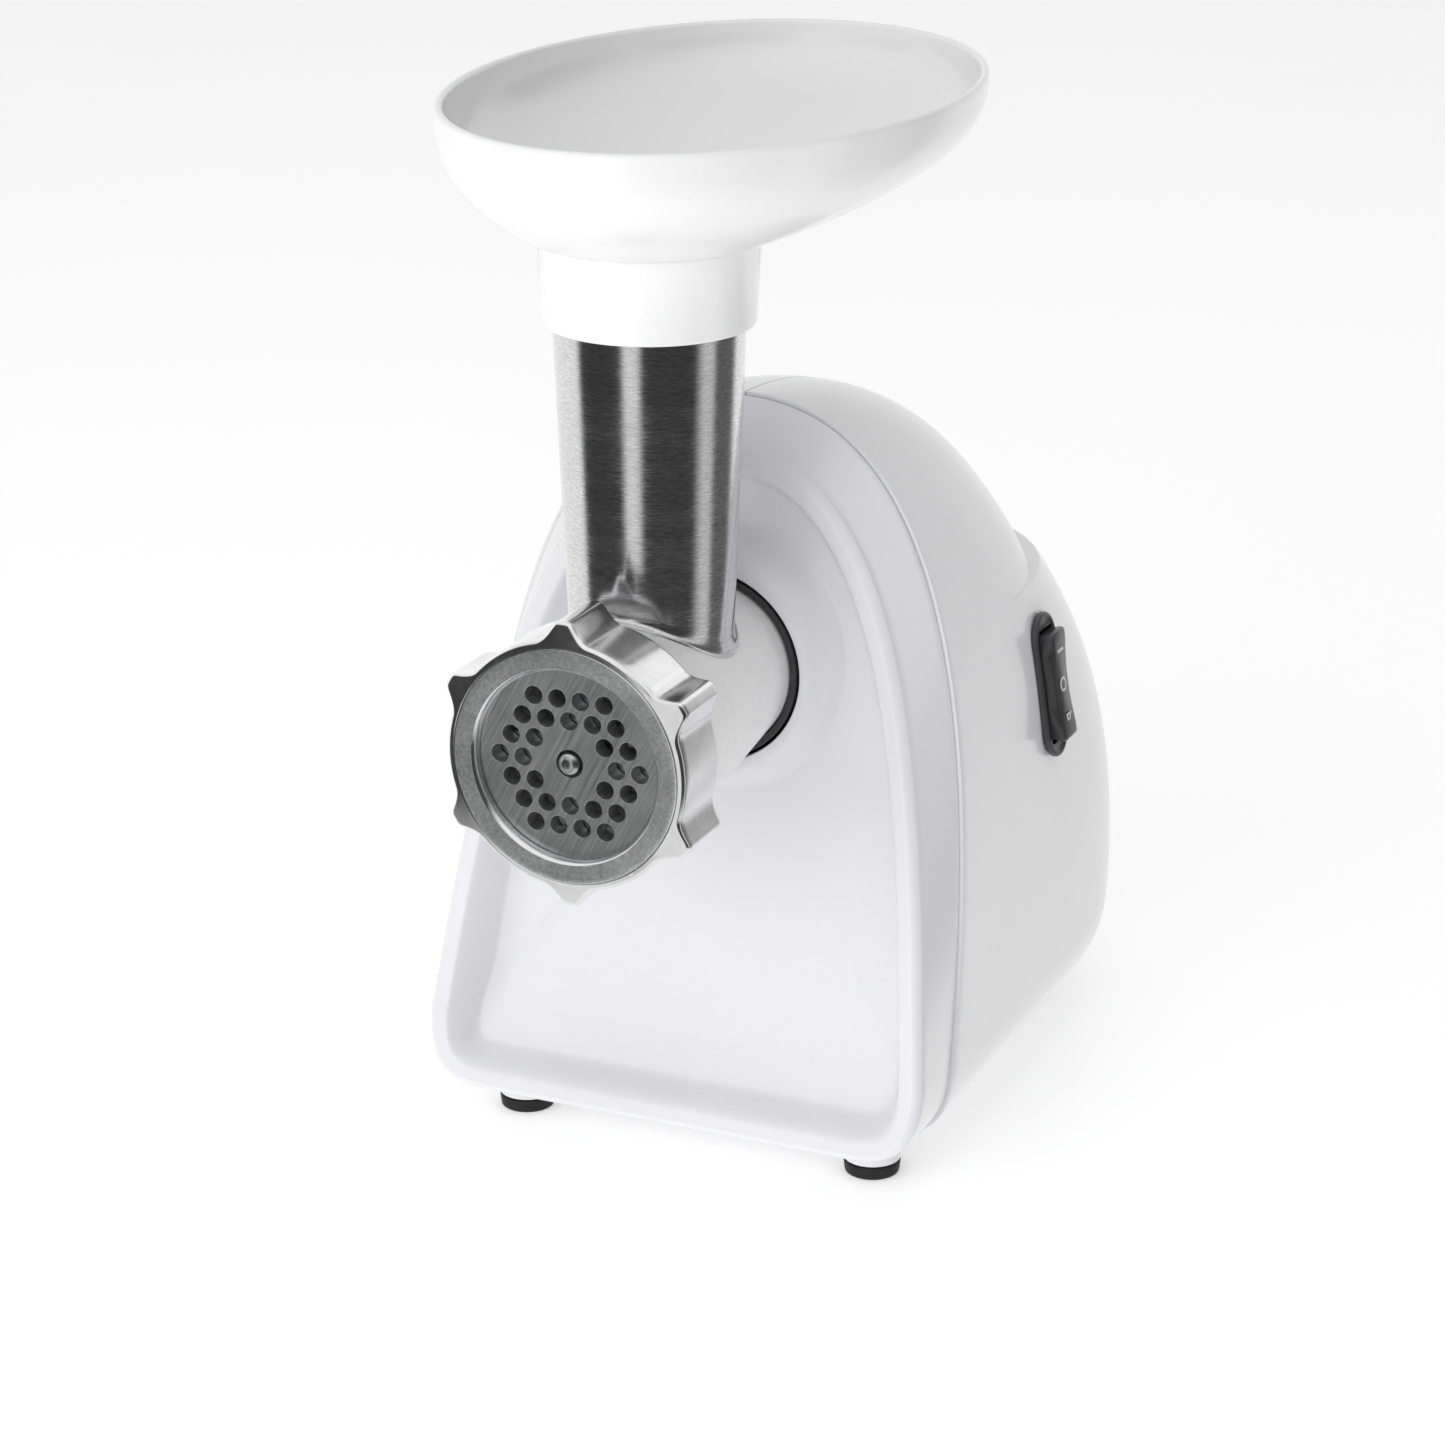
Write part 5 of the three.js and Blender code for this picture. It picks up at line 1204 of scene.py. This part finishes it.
def food_tray():
    sides = 160
    angles = np.arange(sides) * 2 * math.pi / sides

    def oval(half_width, half_length, centre, z):
        x, y = half_width * np.cos(angles), centre + half_length * np.sin(angles)
        return np.stack([x, y, np.full(sides, z)], axis=1)

    def bowl(share, wall, z):
        spread = 1 - (1 - share) ** BOWL_FULLNESS
        centre = lerp(FEED_Y, RIM_CENTRE_Y, spread)
        length = lerp(BOWL_FOOT_R, RIM_HALF_LENGTH, spread) - wall
        width = lerp(BOWL_FOOT_R, RIM_HALF_WIDTH, spread) - wall
        return oval(width, length, centre, z)

    def circle(radius, z):
        return oval(radius, radius, FEED_Y, z)

    height = TRAY_RIM_Z - COLLAR_TOP_Z
    floor_z = COLLAR_TOP_Z + TRAY_WALL
    lip = 1.15
    shares = 1 - np.linspace(1, 0, 44) ** 1.6
    collar = rounded([
        (COLLAR_BORE_R, COLLAR_FLOOR_Z + 1.4), (COLLAR_BORE_R, COLLAR_FLOOR_Z),
        (COLLAR_FLOOR_R - 0.1, COLLAR_FLOOR_Z), (COLLAR_FLOOR_R, COLLAR_FLOOR_Z + 1.6),
        (COLLAR_TOP_R, COLLAR_TOP_Z - 0.4),
    ], [0.4, 0.9, 1.2], 5)
    rings = [circle(r, z) for r, z in collar]
    rings += [circle(COLLAR_TOP_R + 0.25, COLLAR_TOP_Z - 0.1), circle(COLLAR_TOP_R + 0.9, COLLAR_TOP_Z)]
    rings += [bowl(share, 0, COLLAR_TOP_Z + 0.2 + share * (height - 0.2 - lip)) for share in shares]
    for a in np.linspace(0, math.pi, 11)[1:]:
        rings.append(bowl(1, lip * (1 - math.cos(a)), TRAY_RIM_Z - lip + lip * math.sin(a)))
    inner_top = TRAY_RIM_Z - lip
    for share in shares[::-1][1:-1]:
        rings.append(bowl(share, TRAY_WALL + 0.1, floor_z + share * (inner_top - floor_z)))
    rings += [bowl(0, TRAY_WALL + 0.6, floor_z), bowl(0, TRAY_WALL + 2.4, floor_z - 0.25)]
    throat = rounded([
        (BOWL_FOOT_R - TRAY_WALL - 3.0, floor_z - 0.3), (THROAT_R, floor_z - 1.6),
        (THROAT_R, TUBE_TOP_Z + GAP), (COLLAR_BORE_R, TUBE_TOP_Z + GAP), (COLLAR_BORE_R, TUBE_TOP_Z - 2),
    ], [1.6, 0.25, 0.25], 5)
    rings += [circle(r, z) for r, z in throat]
    return loft("tray_bowl", rings, [TRAY_WHITE], None, True, 50)


add_piece(food_tray(), "tray", "white", "food_tray")

# ---------------------------------------------------------------- base, feet, grommet and screws


def rounded_rectangle(half_width, y0, y1, front, rear, steps=20):
    """An outline in plan, with one corner radius in front and another behind."""
    corners = [
        (half_width - front, y0 + front, front), (half_width - rear, y1 - rear, rear),
        (rear - half_width, y1 - rear, rear), (front - half_width, y0 + front, front),
    ]
    outline = []
    for k, (x, y, radius) in enumerate(corners):
        start = (k - 1) * math.pi / 2
        for a in np.linspace(start, start + math.pi / 2, steps):
            outline.append((x + radius * math.cos(a), y + radius * math.sin(a)))
    return outline


def base_plate():
    low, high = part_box("base_plate")
    half_width = high.x / MM
    y0, y1 = (low.y - FACE_Y) / MM, (high.y - FACE_Y) / MM
    z0, z1 = 6.2, high.z / MM
    vent_r, straight = 1.6, 11 - 1.6
    holes = []
    for x in (-17, 17):
        for y in range(124, 174, 10):
            loop = []
            for start, dx in ((0, straight), (math.pi, -straight)):
                for a in np.linspace(start - math.pi / 2, start + math.pi / 2, 12):
                    loop.append((x + dx + vent_r * math.cos(a), y + vent_r * math.sin(a)))
            holes.append(loop[::-1])
    for number in range(1, 5):
        x, y, _, _ = spot(f"base_screw_{number}")
        holes.append(circle_loop(1.9, x, y, 32)[::-1])
    outline = rounded_rectangle(half_width, y0, y1, 4, 40)
    plate = slab("base_panel", [outline, *holes], z1 - z0, WHITE, 0.3, 2)
    settle(plate, Matrix.Translation((0, FACE_Y, z0 * MM)))
    bosses = []
    for node in ("foot_pad_rear_left", "foot_pad_rear_right"):
        bosses.append(foot_boss(node, [(6.9, 0), (7.5, 0.5)],
                                [(7.5, z0 - 0.6), (8.3, z0 + 0.3), (0, z0 + 0.4)]))
    return joined(plate, bosses)


def foot_pad(node):
    x, y, _, top = spot(node)
    profile = rounded([(0, 0), (7.0, 0), (7.4, top), (0, top)], [0.7, 0.35], 6)
    return lathe(node + "_rubber", profile, RUBBER, 72, "z", (x, y, 0))


def cord_grommet():
    corners = [
        (3.8, 232), (3.8, 226), (6.1, 226), (6.1, 237.2), (8.6, 237.2), (8.6, BACK_Y - 0.8),
        (7.4, BACK_Y), (4.4, BACK_Y), (3.8, BACK_Y - 0.8),
    ]
    profile = rounded(corners, [0.2, 0.3, 0.3, 0.3, 0.4, 0.5, 0.4], 4)
    return lathe("grommet_ring", profile, RUBBER, 96, "y", (0, 0, GROMMET_Z), wrap=True)


def base_screw(node):
    """A pan head with a cross recess, its head underneath."""
    x, y, head, end = spot(node)
    profile = [(0, head), (1.4, head + 0.03), (2.4, head + 0.25), (2.95, head + 0.7), (3.05, head + 1.1),
               (3.05, head + 1.6), (1.5, head + 1.65), (1.5, end - 0.6), (0.7, end), (0, end)]
    screw = lathe(node + "_pan_head", profile, ZINC, 48, "z", (x, y, 0))
    tools = []
    for half in ((1.75, 0.32), (0.32, 1.75)):
        low, high = (x - half[0], y - half[1], head - 0.5), (x + half[0], y + half[1], head + 0.95)
        tools.append(new_object("recess", *box_mesh(low, high), [ZINC]))
    combine(screw, tools)
    soften(screw, 35)
    return screw


add_piece(base_plate(), "motor_base", "white", "base_plate")
for pad in ("front_left", "front_right", "rear_left", "rear_right"):
    add_piece(foot_pad("foot_pad_" + pad), "motor_base", "rubber", "foot_pad_" + pad)
add_piece(cord_grommet(), "motor_base", "rubber", "cord_grommet")
for screw_number in range(1, 5):
    screw_node = f"base_screw_{screw_number}"
    add_piece(base_screw(screw_node), "motor_base", "zinc", screw_node)

# ---------------------------------------------------------------- carried-over CAD nodes
SLOT_FINISH = {
    "white": WHITE, "black": BLACK, "rubber": RUBBER, "cast": SCREW, "steel": STEEL, "zinc": ZINC,
    "copper": COPPER, "lamination": LAMINATION, "nylon": NYLON, "carbon": CARBON,
}
for subpart in frame["record"]["subparts"]:
    node = NODES[subpart["node"]]
    if node.hide_render:
        continue
    node.data.materials.clear()
    node.data.materials.append(SLOT_FINISH[subpart["material_slot"]])
    bevel(node, 0.15, 2, 40)

# ---------------------------------------------------------------- studio


def area_light(name, power, side, place, target):
    """A square soft light that lights matt surfaces; it doesn't show in reflections."""
    light = bpy.data.lights.new(name, "AREA")
    light.size = side
    light.energy = power
    obj = bpy.data.objects.new(name, light)
    obj.location = place
    obj.rotation_euler = (Vector(target) - Vector(place)).to_track_quat("-Z", "Y").to_euler()
    obj.visible_camera = False
    obj.visible_glossy = False
    bpy.context.scene.collection.objects.link(obj)


def studio_floor():
    finish = Finish("pale_floor", Emission_Color=(1, 1, 1, 1), Emission_Strength=0.34)
    patch = finish.noise(3, detail=3)
    finish.colour(finish.colours(patch, (0.3, (0.92, 0.92, 0.92)), (0.7, (0.94, 0.94, 0.94))))
    finish.rough(finish.remap(patch, 0.5, 0.6))
    reach = 9.0
    mesh = bpy.data.meshes.new("floor")
    corners = [(-reach, -reach, 0), (reach, -reach, 0), (reach, reach, 0), (-reach, reach, 0)]
    mesh.from_pydata(corners, [], [(0, 1, 2, 3)])
    mesh.materials.append(finish.material)
    floor = bpy.data.objects.new("floor", mesh)
    floor.visible_glossy = False
    bpy.context.scene.collection.objects.link(floor)


def studio_world():
    """Even pale light for matt surfaces. In reflections the room is dark on the viewer's side of the
    grinder, with two tall soft panels, and pale behind it, overhead and below."""
    toward, right = (0.412, -0.911, 0.0), (0.911, 0.412, 0.0)
    room = [
        (-180, 1.0), (-98, 1.0), (-91, 0.05), (-36, 0.05), (-29, 0.85), (-15, 0.85), (-8, 0.05),
        (58, 0.05), (70, 0.65), (83, 0.65), (90, 0.12), (120, 0.14), (132, 1.0), (180, 1.0),
    ]
    heights = [(0.0, 1.0), (0.13, 1.0), (0.27, 0.0), (0.70, 0.0), (0.86, 1.0), (1.0, 1.0)]
    world = bpy.data.worlds.new("studio")
    world.use_nodes = True
    sky = Graph(world.node_tree)
    direction = sky.node("ShaderNodeTexCoord").outputs["Generated"]

    def along(axis):
        dot = sky.node("ShaderNodeVectorMath", operation="DOT_PRODUCT")
        sky.links.new(direction, dot.inputs[0])
        dot.inputs[1].default_value = axis
        return dot.outputs["Value"]

    def greys(value, stops):
        return sky.colours(value, *((at, (grey, grey, grey)) for at, grey in stops))

    azimuth = sky.math("ARCTAN2", along(right), along(toward))
    turn = sky.math("ADD", sky.math("MULTIPLY", azimuth, 0.5 / math.pi), 0.5)
    height = sky.math("ADD", sky.math("MULTIPLY", along((0.0, 0.0, 1.0)), 0.5), 0.5)
    walls = greys(turn, [(angle / 360 + 0.5, grey) for angle, grey in room])
    reflected = sky.mixed(greys(height, heights), walls, (0.9, 0.9, 0.9))
    path = sky.node("ShaderNodeLightPath")
    seen = sky.mixed(path.outputs["Is Camera Ray"], (0.45, 0.45, 0.45), (1.0, 1.0, 1.0))
    shown = sky.mixed(path.outputs["Is Glossy Ray"], seen, reflected)
    sky.links.new(shown, sky.nodes["Background"].inputs["Color"])
    bpy.context.scene.world = world


def camera():
    data = bpy.data.cameras.new("camera")
    data.sensor_width = 36.0
    data.lens = 104.27
    data.clip_end = 50
    obj = bpy.data.objects.new("camera", data)
    obj.location = (0.41567, -0.94929, 0.47476)
    yaw, pitch, roll = math.radians(24.33), math.radians(19.91), math.radians(-0.08)
    turn = Matrix.Rotation(yaw, 4, "Z") @ Matrix.Rotation(math.pi / 2 - pitch, 4, "X")
    obj.rotation_euler = (turn @ Matrix.Rotation(roll, 4, "Z")).to_euler()
    bpy.context.scene.collection.objects.link(obj)
    bpy.context.scene.camera = obj


studio_floor()
studio_world()
middle = (0, 0, 0.14)
area_light("key", 16.0, 1.6, (-0.75, -1.8, 0.5), middle)
area_light("front", 9.0, 1.2, (0.35, -2.0, 0.6), middle)
area_light("top", 6, 1.4, (0.1, 0.1, 1.9), middle)
camera()

view = bpy.context.scene.view_settings
view.view_transform = "Standard"
view.look = "None"
view.exposure = 0.0
